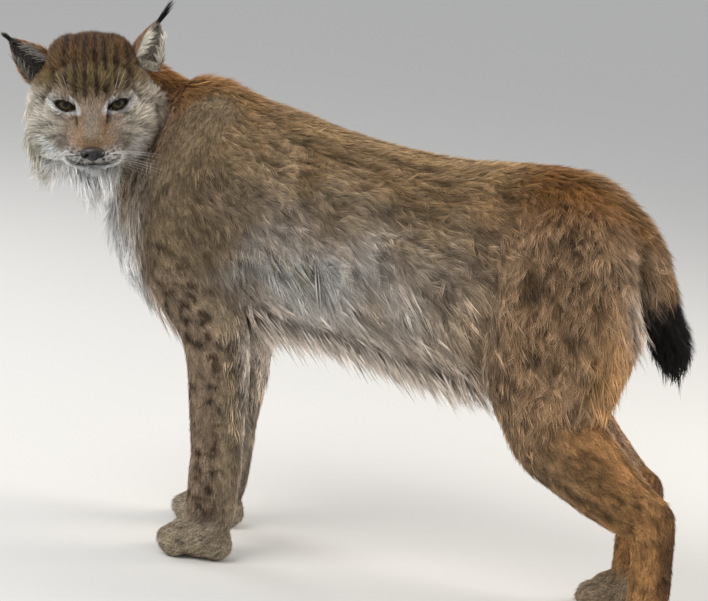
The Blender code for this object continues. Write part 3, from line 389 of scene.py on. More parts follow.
FACE_COAT = ("face", (
    ("cheek", 1, (("across", 0.030, 0.050),)),
    ("forehead", 1, (("brow", -0.008, 0.022, 0.006),)),
    ("crown", 1, (("height", 0.026, 0.078, 0.010),)),
    ("crown", 1, (("ahead", 0.01, -0.05), ("height", 0.0, 0.05))),
    ("bridge", 1, (("across", 0.019, 0.009), ("height", 0.002, -0.022), ("ahead", 0.02, 0.04))),
    ("tan", 0.55, (
        ("across", 0.005, 0.012), ("across", 0.031, 0.019), ("height", -0.052, -0.040),
        ("height", 0.004, -0.014), ("ahead", 0.035, 0.055),
    )),
    ("tan", 0.7, (("across", 0.015, 0.008), ("height", -0.032, -0.042), ("ahead", 0.08, 0.09))),
    ("streak", 0.80, (("temple", 0.0028, 0.0008), FACE_FRONT)),
    ("streak", 0.80, (("tear", 0.0026, 0.0006), FACE_FRONT)),
    ("streak", 0.60, (("under eye", 0.0022, 0.0002), FACE_FRONT)),
    ("streak", 0.55, (("over eye", 0.0026, 0.0006), FACE_FRONT)),
    ("white", 0.9, (("ring", 1.06, 1.14), ("ring", 1.62, 1.42), ("rim",), FACE_FRONT)),
    ("lid", 1, (("ring", 1.10, 1.02), FACE_FRONT)),
    ("streak", 0.55, (("cheek lines", 0.0028, 0.0004),)),
    ("streak", 0.88, (("forehead lines", 0.0044, 0.0016), ("broken", -0.55, -0.05), ("ahead", -0.05, 0.0))),
    ("white", 0.65, (("over lips", 0.020, 0.008), ("across", 0.046, 0.036), ON_MUZZLE)),
    ("streak", 0.95, (
        ("row", 0.0018, 0.0011), ("dot", 0.0028, 0.0018), ("across", 0.009, 0.012), ("across", 0.036, 0.030),
        ON_MUZZLE, ("over lips", 0.019, 0.016), ("over lips", 0.002, 0.004),
    )),
    ("white", 1, (("over lips", 0.000, -0.003), ("across", 0.070, 0.054), ("ahead", -0.02, 0.02))),
    ("lid", 1, (("from lips", 0.0044, 0.0026), ("across", 0.036, 0.032), ON_MUZZLE)),
    ("lid", 0.8, (
        ("across", 0.0018, 0.0010), ("height", -0.058, -0.062), ("height", -0.074, -0.070), ON_MUZZLE,
    )),
    ("streak", 0.75, (("ruff stripe", 0.0100, 0.0020), ("patchy", -0.2, 0.3), ("ahead", 0.03, 0.0))),
    ("white", 1, (("height", -0.064, -0.080), ("across", 0.062, 0.046))),
))
# Each ear's back has a grey patch and its rim is tan; the right ear's inside is painted dark as shade, the
# left ear's is pale.
EAR_COATS = {
    side: ("ear", (
        ("ear patch", 1, (("patch", 0.011, 0.006), ("back",))),
        (f"{side} ear inside", 1, (("facing", 0.0, 0.4), ("along", 0.98, 0.85))),
        ("tan", 0.85, (("edge", 0.62, 0.84), ("along", 0.97, 0.80))),
    )) for side in SIDES
}
# Skin without hair.
BARE = {
    "nose": (("nose", 0.0165, 0.0145),),
    "soles": (("z", 0.012, 0.006), ("upwards", -0.3, -0.6)),
    "lips": (("from lips", 0.0022, 0.0012), ("ahead", 0.050, 0.060), ("across", 0.034, 0.031)),
    "eyes": (("ring", 1.06, 1.0),),
}
# Long locks: their length, the way they hang, how far they may leave the skin, and their bands. The ways
# of those without one are worked out in lock_growth.
LOCKS = {
    "fringe": (0.058, (0.55, 0, -0.85), 0.75, (("level", 0.20, 0.08), ("x", -0.40, -0.36))),
    "side fringe": (0.050, (0.62, 0, -0.80), 0.16, (("level", 0.50, 0.35), ("x", -0.19, -0.13))),
    "breast": (0.046, (0.02, 0, -1.0), 0.28, (("x", -0.26, -0.31), ("z", 0.52, 0.47))),
    "rear": (0.044, (0.22, 0, -1.0), 0.30, (("behind", 0.050, 0.075),)),
    "knee": (0.030, (0.35, 0, -0.95), 0.10, (("z", 0.40, 0.35),)),
    "elbow": (0.024, (0.22, 0, -1.0), 0.25, (("behind", 0.018, 0.028), ("z", 0.16, 0.20), ("z", 0.36, 0.31))),
    "tail": (0.036, None, 0.28, (("tail", 0.30, 0.40),)),
    "ruff": (0.038, None, 0.30, (
        ("ahead", 0.020, -0.010), ("height", 0.015, -0.015), ("ahead", -0.046, -0.036),
    )),
    "beard": (0.042, None, 0.40, (("height", -0.074, -0.079), ("ahead", 0.092, 0.084))),
}


def linear(hex_colour):
    """An sRGB hex colour as linear red, green and blue."""
    values = [int(hex_colour[k:k + 2], 16) / 255 for k in (1, 3, 5)]
    return tuple(v / 12.92 if v <= 0.04045 else ((v + 0.055) / 1.055) ** 2.4 for v in values)


def head_frame():
    """The matrix from the head's own axes to the body's."""
    forward = Vector((
        math.sin(HEAD_TURN) * math.cos(HEAD_PITCH),
        -math.cos(HEAD_TURN) * math.cos(HEAD_PITCH),
        math.sin(HEAD_PITCH),
    ))
    level_left = Vector((math.cos(HEAD_TURN), math.sin(HEAD_TURN), 0.0))
    level_up = forward.cross(level_left)
    left = level_left * math.cos(HEAD_ROLL) + level_up * math.sin(HEAD_ROLL)
    up = forward.cross(left)
    return Matrix.Translation(SKULL) @ Matrix((-left, forward, up)).transposed().to_4x4()


HEAD = head_frame()
HEAD_TURNED = np.array(HEAD.to_3x3())
# From the frame of the design to the frame of the model, found from where the left eye is.
EYE_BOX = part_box("eye_left")
OFFSET = (EYE_BOX[0] + EYE_BOX[1]) / 2 - HEAD @ Vector((-EYE.x, EYE.y, EYE.z))


class LynxCoat(bpy.types.PropertyGroup):
    """How long, dense and even the coat is."""
    length: FloatProperty(name="Hair length", description="Share of the natural length of every hair",
                          default=1.0, min=0.2, max=2.0, subtype="FACTOR")
    spacing: FloatProperty(name="Tuft spacing", description="Least distance between body tufts",
                           default=0.0037, min=0.002, max=0.02, unit="LENGTH")
    face_spacing: FloatProperty(name="Face spacing", description="Least distance between tufts of the face",
                                default=0.0017, min=0.001, max=0.01, unit="LENGTH")
    lock_spacing: FloatProperty(name="Lock spacing", description="Least distance between long locks",
                                default=0.0070, min=0.003, max=0.03, unit="LENGTH")
    seed: IntProperty(name="Seed", description="Start of the random draws of the coat", default=7)


class LynxEyes(bpy.types.PropertyGroup):
    """Colours of the eyes."""
    iris: FloatVectorProperty(name="Iris", description="Colour of the iris", subtype="COLOR",
                              default=linear("#3A3523"), min=0, max=1)
    pupil: FloatProperty(name="Pupil", description="Radius of the pupil", default=0.0038, unit="LENGTH")
    iris_radius: FloatProperty(name="Iris radius", description="Radius of the iris", default=0.0095,
                               unit="LENGTH")


class LynxStage(bpy.types.PropertyGroup):
    """Floor and light."""
    floor: FloatVectorProperty(name="Floor", description="Colour of the floor and backdrop", subtype="COLOR",
                               default=linear("#DAD8D4"), min=0, max=1)
    key: FloatProperty(name="Key light", description="Power of the large light from above", default=115.0,
                       unit="POWER")
    fill: FloatProperty(name="Fill", description="Strength of the light from all round", default=0.72)


# General building


def new_object(name, mesh):
    made = bpy.data.objects.new(name, mesh)
    bpy.context.scene.collection.objects.link(made)
    return made


def blend_rows(rows, steps):
    """Rows of numbers with Catmull-Rom steps between them."""
    padded = [rows[0], *rows, rows[-1]]
    out = []
    for i in range(1, len(rows)):
        a, b, c, d = padded[i - 1:i + 3]
        for k in range(steps):
            t = k / steps
            out.append(tuple(
                0.5 * (2 * q + (r - p) * t + (2 * p - 5 * q + 4 * r - s) * t * t
                       + (3 * q - p - 3 * r + s) * t**3)
                for p, q, r, s in zip(a, b, c, d)
            ))
    out.append(rows[-1])
    return out


def oval(centre, first, second, sides, squareness=2.0):
    """Points round a superellipse with half axes first and second."""
    points = []
    for k in range(sides):
        angle = 2 * math.pi * k / sides
        c, s = math.cos(angle), math.sin(angle)
        along = math.copysign(abs(c) ** (2 / squareness), c)
        across = math.copysign(abs(s) ** (2 / squareness), s)
        points.append(centre + first * along + second * across)
    return points


def closed_mesh(name, rings):
    """A closed body over rings of points that share one count."""
    mesh = bpy.data.meshes.new(name)
    bm = bmesh.new()
    loops = [[bm.verts.new(p) for p in ring] for ring in rings]
    count = len(loops[0])
    for low, high in zip(loops, loops[1:]):
        for k in range(count):
            n = (k + 1) % count
            bm.faces.new((low[k], low[n], high[n], high[k]))
    bm.faces.new(reversed(loops[0]))
    bm.faces.new(loops[-1])
    bmesh.ops.triangulate(bm, faces=bm.faces)
    bmesh.ops.recalc_face_normals(bm, faces=bm.faces)
    bm.to_mesh(mesh)
    bm.free()
    return new_object(name, mesh)


def tube(name, rows, hint, grow=0.0, sides=28, steps=5):
    """A body along rows of (x, y, z, half size along hint, half size across it), made wider by grow."""
    rows = blend_rows(rows, steps)
    middles = [Vector(r[:3]) for r in rows]
    rings = []
    for i, row in enumerate(rows):
        run = (middles[min(i + 1, len(rows) - 1)] - middles[max(i - 1, 0)]).normalized()
        first = (hint - run * hint.dot(run)).normalized()
        second = run.cross(first)
        rings.append(oval(middles[i], first * (row[3] + grow), second * (row[4] + grow), sides))
    return closed_mesh(name, rings)


def ball(name, place, centre, radii, segments=32):
    """An ellipsoid in the given frame."""
    mesh = bpy.data.meshes.new(name)
    bm = bmesh.new()
    bmesh.ops.create_uvsphere(bm, u_segments=segments, v_segments=segments // 2, radius=1.0)
    bm.transform(place @ Matrix.Translation(Vector(centre)) @ Matrix.Diagonal((*radii, 1.0)))
    bmesh.ops.recalc_face_normals(bm, faces=bm.faces)
    bm.to_mesh(mesh)
    bm.free()
    return new_object(name, mesh)


def apply_modifiers(obj):
    graph = bpy.context.evaluated_depsgraph_get()
    mesh = bpy.data.meshes.new_from_object(obj.evaluated_get(graph))
    obj.modifiers.clear()
    obj.data = mesh
    return obj


def fuse(name, pieces, voxel, smooth_rounds):
    """Overlapping bodies melted into one skin, with their creases smoothed."""
    bm = bmesh.new()
    for piece in pieces:
        bm.from_mesh(piece.data)
        bpy.data.objects.remove(piece)
    mesh = bpy.data.meshes.new(name)
    bm.to_mesh(mesh)
    bm.free()
    made = new_object(name, mesh)
    remesh = made.modifiers.new("melt", "REMESH")
    remesh.mode = "VOXEL"
    remesh.voxel_size = voxel
    smooth = made.modifiers.new("soften", "SMOOTH")
    smooth.factor = 0.5
    smooth.iterations = smooth_rounds
    return apply_modifiers(made)


def boolean(obj, other, operation, solver="MANIFOLD"):
    """Joins, cuts or intersects obj with another object, which is removed."""
    step = obj.modifiers.new(operation.lower(), "BOOLEAN")
    step.operation = operation
    step.solver = solver
    step.object = other
    apply_modifiers(obj)
    bpy.data.objects.remove(other)
    return obj


def set_inputs(node, inputs):
    """Links or sets inputs of a node."""
    for key, value in inputs.items():
        if isinstance(value, bpy.types.NodeSocket):
            node.id_data.links.new(value, node.inputs[key])
        else:
            node.inputs[key].default_value = value


def add_node(tree, kind, inputs=None, **settings):
    """Adds a node with its settings, and links or sets its inputs."""
    node = tree.nodes.new(kind)
    for key, value in settings.items():
        setattr(node, key, value)
    set_inputs(node, inputs or {})
    return node


def finish_piece(obj):
    """Moves a piece from the frame of the design to that of the model, and lets it ride on the body."""
    obj.data.transform(Matrix.Translation(OFFSET))
    obj.name = obj.name.replace(" ", "_")
    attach(obj, "root")
    return obj


def remove_object(obj):
    mesh = obj.data
    bpy.data.objects.remove(obj)
    bpy.data.meshes.remove(mesh)


# The skin


def leg_rows(side, pair, rows):
    """Rows of a leg on one side, with the step that grows towards its foot."""
    out = []
    for x, y, z, *rest in rows:
        share = min(1.0, max(0.0, (STEP_TOP - z) / (STEP_TOP - STEP_FOOT)))
        out.append((x + STEPS[side, pair] * share, y * SIDES[side], z, *rest))
    return out


def paw_forms(x, y, rows):
    """Pad, heel and four toes under a leg."""
    place = Matrix.Translation((x, y, 0))
    d = PAW_DEPTH
    forms = [
        ball("palm", place, (-0.012, 0, 0.028), (0.043 - d, 0.036 - d, 0.033 - d)),
        ball("heel", place, (0.014, 0, 0.020), (0.024 - d, 0.026 - d, 0.022)),
        tube("pastern", rows, AHEAD, -d),
    ]
    for across, ahead, width in TOES:
        radii = (0.024 - d, width - d * 0.7, 0.020 - d * 0.5)
        forms.append(ball("toe", place, (ahead, across, 0.018), radii))
    return forms


def body_skin():
    """Trunk, neck, legs, paws and tail as one skin under the coat."""
    rings = []
    for x, top, bottom, half in blend_rows(TRUNK, 5):
        middle = Vector((x, 0, (top + bottom) / 2))
        upwards = UP * ((top - bottom) / 2 - BODY_DEPTH)
        rings.append(oval(middle, upwards, Vector((0, half - BODY_DEPTH, 0)), 36, 2.25))
    forms = [
        closed_mesh("trunk", rings), tube("neck", NECK, UP, -BODY_DEPTH),
        tube("tail", TAIL, AHEAD, -TAIL_DEPTH),
    ]
    for side in SIDES:
        fore = leg_rows(side, "fore", FORELEG)
        forms.append(tube("foreleg", fore, AHEAD, -LEG_DEPTH))
        forms.append(tube("thigh", leg_rows(side, "hind", THIGH), AHEAD, -BODY_DEPTH))
        forms.append(tube("shank", leg_rows(side, "hind", SHANK), UP, -LEG_DEPTH))
        hind = leg_rows(side, "hind", METATARSUS)
        forms.append(tube("metatarsus", hind, AHEAD, -LEG_DEPTH))
        for rows in (fore, hind):
            x, y, _, deep, wide = rows[-1]
            forms += paw_forms(x, y, [*rows[-2:], (x - 0.006, y, 0.020, deep * 0.8, wide * 0.8)])
    skin = fuse("skin", forms, BODY_VOXEL, 4)
    # The paws end flat on the ground, at height zero.
    ground = bpy.data.meshes.new("ground")
    bm = bmesh.new()
    bmesh.ops.create_cube(bm, size=2.0, matrix=Matrix.Translation((0, 0, -1.0)))
    bm.to_mesh(ground)
    bm.free()
    return boolean(skin, new_object("ground", ground), "DIFFERENCE")


def ear_place(side):
    out, ahead, height, tilt, turn, length, _, _ = EARS[side]
    lean = Matrix.Rotation(tilt * SIDES[side], 4, "Y") @ Matrix.Rotation(turn * SIDES[side], 4, "Z")
    return HEAD @ Matrix.Translation((out * SIDES[side], ahead, height)) @ lean, length


def ear_cup(side):
    """The gristle of one ear: a cone with a thin rim, scooped out from in front."""
    place, length = ear_place(side)
    ahead = Vector((0, 1, 0))
    outer_rows = [
        (0, 0, t * length, EAR_DEPTH * d - EAR_GRISTLE, EAR_HALF_WIDTH * w - EAR_GRISTLE)
        for t, w, d in EAR_SHAPE[:-1]
    ]
    outer_rows.append((0, 0, length * 0.97, 0.0008, 0.0010))
    outer = tube("ear", outer_rows, ahead, sides=32, steps=6)
    # The scoop starts above the root, ends under the tip and leaves the back and the rims standing.
    scoop_rows = [
        (0, EAR_DEPTH * d * 0.95, (0.14 + t * 0.74) * length,
         EAR_DEPTH * d * 1.05, EAR_HALF_WIDTH * w * 0.86)
        for t, w, d in EAR_SHAPE
    ]
    boolean(outer, tube("scoop", scoop_rows, ahead, sides=32, steps=6), "DIFFERENCE")
    outer.data.transform(place)
    return outer


def tree_of(obj):
    return BVHTree.FromObject(obj, bpy.context.evaluated_depsgraph_get())


def from_ahead(tree, across, height):
    """Where a line of sight from straight ahead of the face meets the skin, or None."""
    ahead = HEAD.to_3x3() @ Vector((0, 1, 0))
    return tree.ray_cast(HEAD @ Vector((across, 0.3, height)), -ahead)[0]


def mouth_rows(head, lower, size):
    """Rows of a tube along the mouth, on the front of the muzzle, in the head's own axes."""
    tree = tree_of(head)
    back = HEAD.inverted()
    rows = []
    for k in range(17):
        share = k / 8 - 1
        height = MOUTH_MIDDLE + (MOUTH_CORNER - MOUTH_MIDDLE) * share**2 - lower
        hit = from_ahead(tree, MOUTH_HALF_WIDTH * share, height)
        if hit is not None:
            rows.append((*(back @ hit), *size))
    return rows


def head_skin():
    """The head with lids, nose bed, lips and the line of the mouth."""
    d = HEAD_DEPTH
    forms = []
    for centre, radii in HEAD_MIDDLE:
        forms.append(ball("mass", HEAD, centre, [r - d for r in radii]))
    for sign in SIDES.values():
        for centre, radii in HEAD_SIDE:
            forms.append(ball("mass", HEAD, (sign * centre[0], *centre[1:]), [r - d * 0.8 for r in radii]))
    for rows in (MUZZLE, BRIDGE):
        made = tube("muzzle", rows, UP, -d)
        made.data.transform(HEAD)
        forms.append(made)
    head = fuse("head", forms, HEAD_VOXEL, 14)
    for sign in SIDES.values():
        centre = Vector((EYE.x * sign, EYE.y, EYE.z))
        boolean(head, ball("lids", HEAD, centre, LID_RADII, 48), "UNION")
        slant = HEAD @ Matrix.Translation(centre) @ Matrix.Rotation(-LID_SLANT * sign, 4, "Y")
        socket = ball("socket", HEAD, centre, (EYE_RADIUS + EYE_PLAY,) * 3, 48)
        slit_radii = (LID_OPENING[0], LID_CUT_DEPTH, LID_OPENING[1])
        boolean(socket, ball("slit", slant, (0, EYE_RADIUS, 0), slit_radii, 48), "UNION", "EXACT")
        boolean(head, socket, "DIFFERENCE")
    lip = tube("lip", mouth_rows(head, LIP, (LIP, LIP)), UP, sides=12, steps=2)
    lip.data.transform(HEAD @ Matrix.Translation((0, -LIP * 0.6, 0)))
    boolean(head, lip, "UNION")
    groove_rows = mouth_rows(head, 0.0, MOUTH_LINE)
    groove = tube("groove", groove_rows, UP, sides=10, steps=2)
    groove.data.transform(HEAD)
    boolean(head, groove, "DIFFERENCE")
    # The cleft runs from under the nose to the middle of the mouth.
    cleft_rows = (
        (0, NOSE.y + 0.003, NOSE.z - 0.006, 0.0008, 0.0030),
        (0, groove_rows[8][1], MOUTH_MIDDLE, 0.0008, 0.0024),
    )
    cleft = tube("cleft", cleft_rows, Vector((1, 0, 0)), sides=8, steps=3)
    cleft.data.transform(HEAD)
    boolean(head, cleft, "DIFFERENCE")
    return head


def keep_largest(obj):
    """Drops every loose surface but the one with the most points."""
    bm = bmesh.new()
    bm.from_mesh(obj.data)
    left = set(bm.verts)
    groups = []
    while left:
        group = [left.pop()]
        for vert in group:
            for edge in vert.link_edges:
                other = edge.other_vert(vert)
                if other in left:
                    left.remove(other)
                    group.append(other)
        groups.append(group)
    groups.sort(key=len)
    for group in groups[:-1]:
        bmesh.ops.delete(bm, geom=group, context="VERTS")
    bm.to_mesh(obj.data)
    bm.free()


def unwrap(obj):
    """An unwrap of the skin's own shape."""
    obj.data.uv_layers.new(name="OFBake")
    bpy.context.view_layer.objects.active = obj
    obj.select_set(True)
    bpy.ops.object.mode_set(mode="EDIT")
    bpy.ops.mesh.select_all(action="SELECT")
    bpy.ops.uv.smart_project(angle_limit=math.radians(66), island_margin=0.001)
    bpy.ops.object.mode_set(mode="OBJECT")
    obj.select_set(False)


# Where each point of the skin lies


def smooth(low, high, value):
    """A soft step from 0 at low to 1 at high."""
    t = np.clip((value - low) / (high - low), 0, 1)
    return t * t * (3 - 2 * t)


def mix(first, second, share):
    return first + (second - first) * share[:, None]


def unit(vectors):
    return vectors / (np.linalg.norm(vectors, axis=1)[:, None] + 1e-9)


def grain(points, cell, seed):
    """Smooth random values from -1 to 1 that change over about one cell, in metres, at each point."""
    spot = points / cell + seed * 17.31
    base = np.floor(spot).astype(np.int64)
    part = spot - base
    part = part * part * (3 - 2 * part)
    total = np.zeros(len(points))
    for corner in itertools.product((0, 1), repeat=3):
        key = (base + corner) @ SCATTER
        key = (key ^ (key >> 13)) * SCATTER_AGAIN & 0x7FFFFFFF
        key = (key ^ (key >> 16)) & 0xFFFF
        share = np.prod(np.where(corner, part, 1 - part), axis=1)
        total += share * (key / 32767.5 - 1)
    return total


def own_axes(place, points):
    """Points of the body in the axes of a frame that is placed in it."""
    turn = np.array(place.inverted())
    return points @ turn[:3, :3].T + turn[:3, 3]


def nearest_on(rows, points):
    """For each point its distance from a limb's middle line in units of the limb's radius, the way that
    the limb runs there, the share of the limb's length, and the nearest place on the line."""
    rows = np.array(blend_rows(rows, 3))
    best = np.full(len(points), np.inf)
    run = np.zeros((len(points), 3))
    share = np.zeros(len(points))
    foot = np.zeros((len(points), 3))
    for i, (a, b) in enumerate(zip(rows[:-1], rows[1:])):
        ab = b[:3] - a[:3]
        t = np.clip(((points - a[:3]) @ ab) / (ab @ ab), 0, 1)
        near = a[:3] + t[:, None] * ab
        radius = (a[3] + a[4]) / 2 * (1 - t) + (b[3] + b[4]) / 2 * t
        far = np.linalg.norm(points - near, axis=1) / radius
        closer = far < best
        best[closer] = far[closer]
        run[closer] = ab / np.linalg.norm(ab)
        share[closer] = (i + t[closer]) / (len(rows) - 1)
        foot[closer] = near[closer]
    return best, run, share, foot


def far_from_lines(points, lines):
    """The distance of each point from the nearest of some lines in a plane."""
    best = np.full(len(points), np.inf)
    for line in lines:
        for a, b in zip(line, line[1:]):
            a, b = np.array(a), np.array(b)
            t = np.clip(((points - a) @ (b - a)) / ((b - a) @ (b - a)), 0, 1)
            best = np.minimum(best, np.linalg.norm(points - a - t[:, None] * (b - a), axis=1))
    return best


def inside(measures, bands, uneven=0.0):
    """How far each point is inside all of the bands. A band names a measure, where it starts, where it is
    full and, if its edge is ragged, by how much; a band that is only a name is a share by itself."""
    share = 1.0
    for name, *edge in bands:
        value = measures[name]
        if edge:
            start, full, *ragged = edge
            value = smooth(start, full, value + uneven * ragged[0] if ragged else value)
        share = share * value
    return share


class Lay:
    """What is known of every point of the skin: its part, the measures that bands go by, and how hair
    lies there. Measures are in metres, in the body's axes (x, y, z) or the head's (across, ahead, height)."""

    def __init__(self, points, normals):
        self.points = points
        self.normals = normals
        self.in_head = own_axes(HEAD, points)
        self.find_parts()
        self.find_measures()
        self.find_lie()
        self.find_length()

    def find_parts(self):
        """Distances to all parts, as weights that blend where parts meet."""
        self.far, self.run, self.share, self.foot = {}, {}, {}, {}
        trunk_rows = [(a, 0, (t + b) / 2, (t - b) / 2, w) for a, t, b, w in TRUNK]
        limbs = {"trunk": trunk_rows, "neck": NECK, "tail": TAIL}
        for side in SIDES:
            for limb, (pair, rows) in LIMBS.items():
                limbs[f"{limb}_{side}"] = leg_rows(side, pair, rows)
            place, length = ear_place(side)
            limbs[f"ear_{side}"] = [
                (*(place @ Vector((0, 0, t * length))), EAR_DEPTH * d * 1.1, EAR_HALF_WIDTH * w)
                for t, w, d in EAR_SHAPE
            ]
        for name, rows in limbs.items():
            self.far[name], self.run[name], self.share[name], self.foot[name] = nearest_on(rows, self.points)
        masses = [*HEAD_MIDDLE]
        for sign in SIDES.values():
            masses += [((sign * centre[0], *centre[1:]), radii) for centre, radii in HEAD_SIDE]
        far = [np.linalg.norm((self.in_head - centre) / radii, axis=1) for centre, radii in masses]
        self.far["head"] = np.minimum(np.min(far, axis=0), nearest_on(MUZZLE, self.in_head)[0])
        # Other parts win over the trunk by a little, and ears start outside the skull.
        self.far["trunk"] *= 1.02
        on_skull = 1 - smooth(*EAR_ROOT, np.linalg.norm(self.in_head - EARS_MIDDLE, axis=1))
        for side in SIDES:
            self.far[f"ear_{side}"] = self.far[f"ear_{side}"] + on_skull * 3
        table = np.array(list(self.far.values()))
        weights = np.exp(-(table - table.min(axis=0)) * PART_SHARPNESS)
        weights /= weights.sum(axis=0)
        self.weights = dict(zip(self.far, weights))
        for group in (*LIMBS, "ear"):
            self.weights[group] = self.weights[f"{group}_left"] + self.weights[f"{group}_right"]
        self.weights["leg"] = self.weights["fore"] + self.weights["shank"] + self.weights["hock"]

    def find_measures(self):
        """The measures that bands go by."""
        x, y, z = self.points.T
        stations, tops, bottoms, _ = zip(*TRUNK)
        top = np.interp(x, stations, tops)
        bottom = np.interp(x, stations, bottoms)
        level = (z - bottom) / (top - bottom)
        behind = np.zeros(len(self.points))
        for name, foot in self.foot.items():
            if name.split("_")[0] in LIMBS:
                behind += self.weights[name] * (x - foot[:, 0])
        sideways, ahead, height = self.in_head.T
        across = np.abs(sideways)
        lips = MOUTH_MIDDLE + (MOUTH_CORNER - MOUTH_MIDDLE) * (across / MOUTH_HALF_WIDTH) ** 2
        over = height - lips
        ring, rim = self.eye_ring()
        flat = np.stack([across, height], axis=1)
        self.measures = {
            "x": x, "y": y, "z": z, "level": level, "behind": behind, "throat": np.abs(y - THROAT_MIDDLE),
            # How far the skin faces outwards, backwards and upwards.
            "outside": self.normals[:, 1] * np.sign(y), "backwards": self.normals[:, 0],
            "upwards": self.normals[:, 2],
            "shin": behind + (SHIN_MIDDLE - z) * 0.25, "tail": self.share["tail"],
            "across": across, "ahead": ahead, "height": height, "brow": height - across * 0.12,
            "ring": ring, "rim": rim, "over lips": over, "from lips": np.abs(over),
            "row": np.abs((over - SPOT_START) % SPOT_ROWS - SPOT_ROWS / 2),
            "dot": np.abs((across + over * SPOT_SHEAR) % SPOT_GAP - SPOT_GAP / 2),
            "nose": np.linalg.norm((self.in_head - tuple(NOSE)) * NOSE_SQUASH, axis=1),
            "muzzle": np.linalg.norm(self.in_head - MUZZLE_TIP, axis=1),
            "patchy": grain(self.points, 0.012, 31), "broken": grain(self.points, 0.010, 33),
            **{name: far_from_lines(flat, lines) for name, lines in FACE_LINES.items()},
        }
        self.paw = inside(self.measures, (PAW_BAND,))

    def eye_ring(self):
        """How far each point is from the nearest eye, as a multiple of the size of its rimmed opening, and
        how white the eye's surround is there: under the eye and towards the nose."""
        ring = np.full(len(self.points), 9.0)
        below = np.zeros(len(self.points))
        inward = np.zeros(len(self.points))
        for sign in SIDES.values():
            off = self.in_head - (EYE.x * sign, EYE.y, EYE.z)
            c, s = math.cos(LID_SLANT), math.sin(LID_SLANT) * sign
            across = off[:, 0] * c + off[:, 2] * s
            up = -off[:, 0] * s + off[:, 2] * c
            far = np.hypot(across / (LID_OPENING[0] + LID_RIM), up / (LID_OPENING[1] + LID_RIM))
            nearer = (off[:, 1] > -0.004) & (far < ring)
            ring = np.where(nearer, far, ring)
            below = np.where(nearer, smooth(0.001, -0.002, up), below)
            inward = np.where(nearer, smooth(0.002, -0.006, across * sign), inward)
        return ring, np.clip(0.25 + below + inward * 0.60, 0, 1)

    def find_lie(self):
        """The way that hair lies along the skin, and how it draws together into locks and strands."""
        p, n, h, w = self.points, self.normals, self.in_head, self.weights
        size = len(p)
        zero = np.zeros(size)
        sag = -0.20 - 0.75 * smooth(0.9, 0.15, self.measures["level"])
        lie = w["trunk"][:, None] * np.stack([zero + 0.85, zero, sag], axis=1)
        lie += w["neck"][:, None] * (-self.run["neck"] * 0.7 + (0, 0, -0.75))
        lie += w["tail"][:, None] * self.run["tail"]
        for side in SIDES:
            for limb in (*LIMBS, "ear"):
                name = f"{limb}_{side}"
                lie += w[name][:, None] * (self.run[name] + LIE_BIAS.get(limb, (0, 0, 0)))
        lie = mix(lie, np.array((-1.0, 0.0, -0.45)), self.paw * w["leg"])
        # On the face hair runs away from the nose, on the cheeks it droops, under the chin it hangs.
        face = unit(h - (0, 0.112, -0.046)) + (0, -0.15, 0)
        droop = np.stack([np.sign(h[:, 0]) * 0.55, zero - 0.35, zero - 0.85], axis=1)
        face = mix(face, droop, inside(self.measures, (("height", 0.0, -0.05), ("ahead", 0.06, 0.0))))
        face = mix(face, np.array((0.0, -0.35, -0.95)), inside(self.measures, (("height", -0.070, -0.080),)))
        lie = mix(lie, face @ HEAD_TURNED.T, np.clip(w["head"] - w["ear"], 0, 1))
        lie = unit(lie - n * (lie * n).sum(axis=1)[:, None])
        side = np.cross(n, lie)
        along = unit(lie)

        def drawn_out(points, stretch, cell, seed):
            squeezed = points - along * (points * along).sum(axis=1)[:, None] * stretch
            return grain(squeezed, cell, seed)

        self.clump = drawn_out(p, LOCK_STRETCH, LOCK_CELL, 3)
        # The strands only shape the painted light and shade of the coat.
        self.strands = drawn_out(p, STRAND_STRETCH, STRAND_CELL, 4)
        # Hair turns towards where its lock is thicker, a quarter of a lock away to the side.
        step = 0.25
        slope = (drawn_out(p + side * LOCK_CELL * step, LOCK_STRETCH, LOCK_CELL, 3) - self.clump) / step
        wave = 0.40 * grain(p, 0.030, 1)
        calm = np.clip(w["head"] * 0.80 + w["leg"] * 0.55 + w["ear"] * 0.7, 0, 0.85)
        angle = (wave + slope * LOCK_PULL) * (1 - calm)
        self.lie = lie * np.cos(angle)[:, None] + side * np.sin(angle)[:, None]

    def find_length(self):
        """Hair length in metres, and how steeply it stands."""
        lengths = {part: length for part, (length, _) in HAIR.items()}
        for part, more, bands in LONGER_HAIR:
            lengths[part] = lengths[part] + more * inside(self.measures, bands)
        length = sum(self.weights[part] * lengths[part] for part in HAIR)
        self.length = length * (1 + 0.18 * grain(self.points, 0.02, 5))
        self.stand = sum(self.weights[part] * stand for part, (_, stand) in HAIR.items())


# What the coat does there


def tone(name):
    return np.array(linear(COAT[name]))


def paint(recipes, measures, uneven=0.0):
    """Colours from recipes: what each starts from, then what covers it, how strongly and in which bands.
    A recipe may use those before it."""
    made = {}
    for name, (base, covers) in recipes.items():
        colour = tone(base)
        for cover, strength, bands in covers:
            over = made[cover] if cover in made else tone(cover)
            colour = mix(colour, over, inside(measures, bands, uneven) * strength)
        made[name] = colour
    return made


def body_colours(lay):
    """Trunk, neck, legs and tail."""
    w = lay.weights
    uneven = grain(lay.points, 0.05, 11) * 0.10 + grain(lay.points, 0.018, 12) * 0.06
    made = paint(BODY_COAT, lay.measures, uneven)
    colour = sum(made[f"{part} coat"] * w[part][:, None] for part in ("trunk", "neck", "tail", *LIMBS))
    paler = inside(lay.measures, (("outside", 0.10, -0.45),)) * 0.5 * (w["fore"] + w["shank"])
    colour = colour + (tone("belly") - tone("foreleg")) * paler[:, None]
    colour = mix(colour, tone("paw"), lay.paw * np.clip(w["leg"] + w["hock"], 0, 1) * 0.8)
    return np.clip(colour, 0.005, 1)


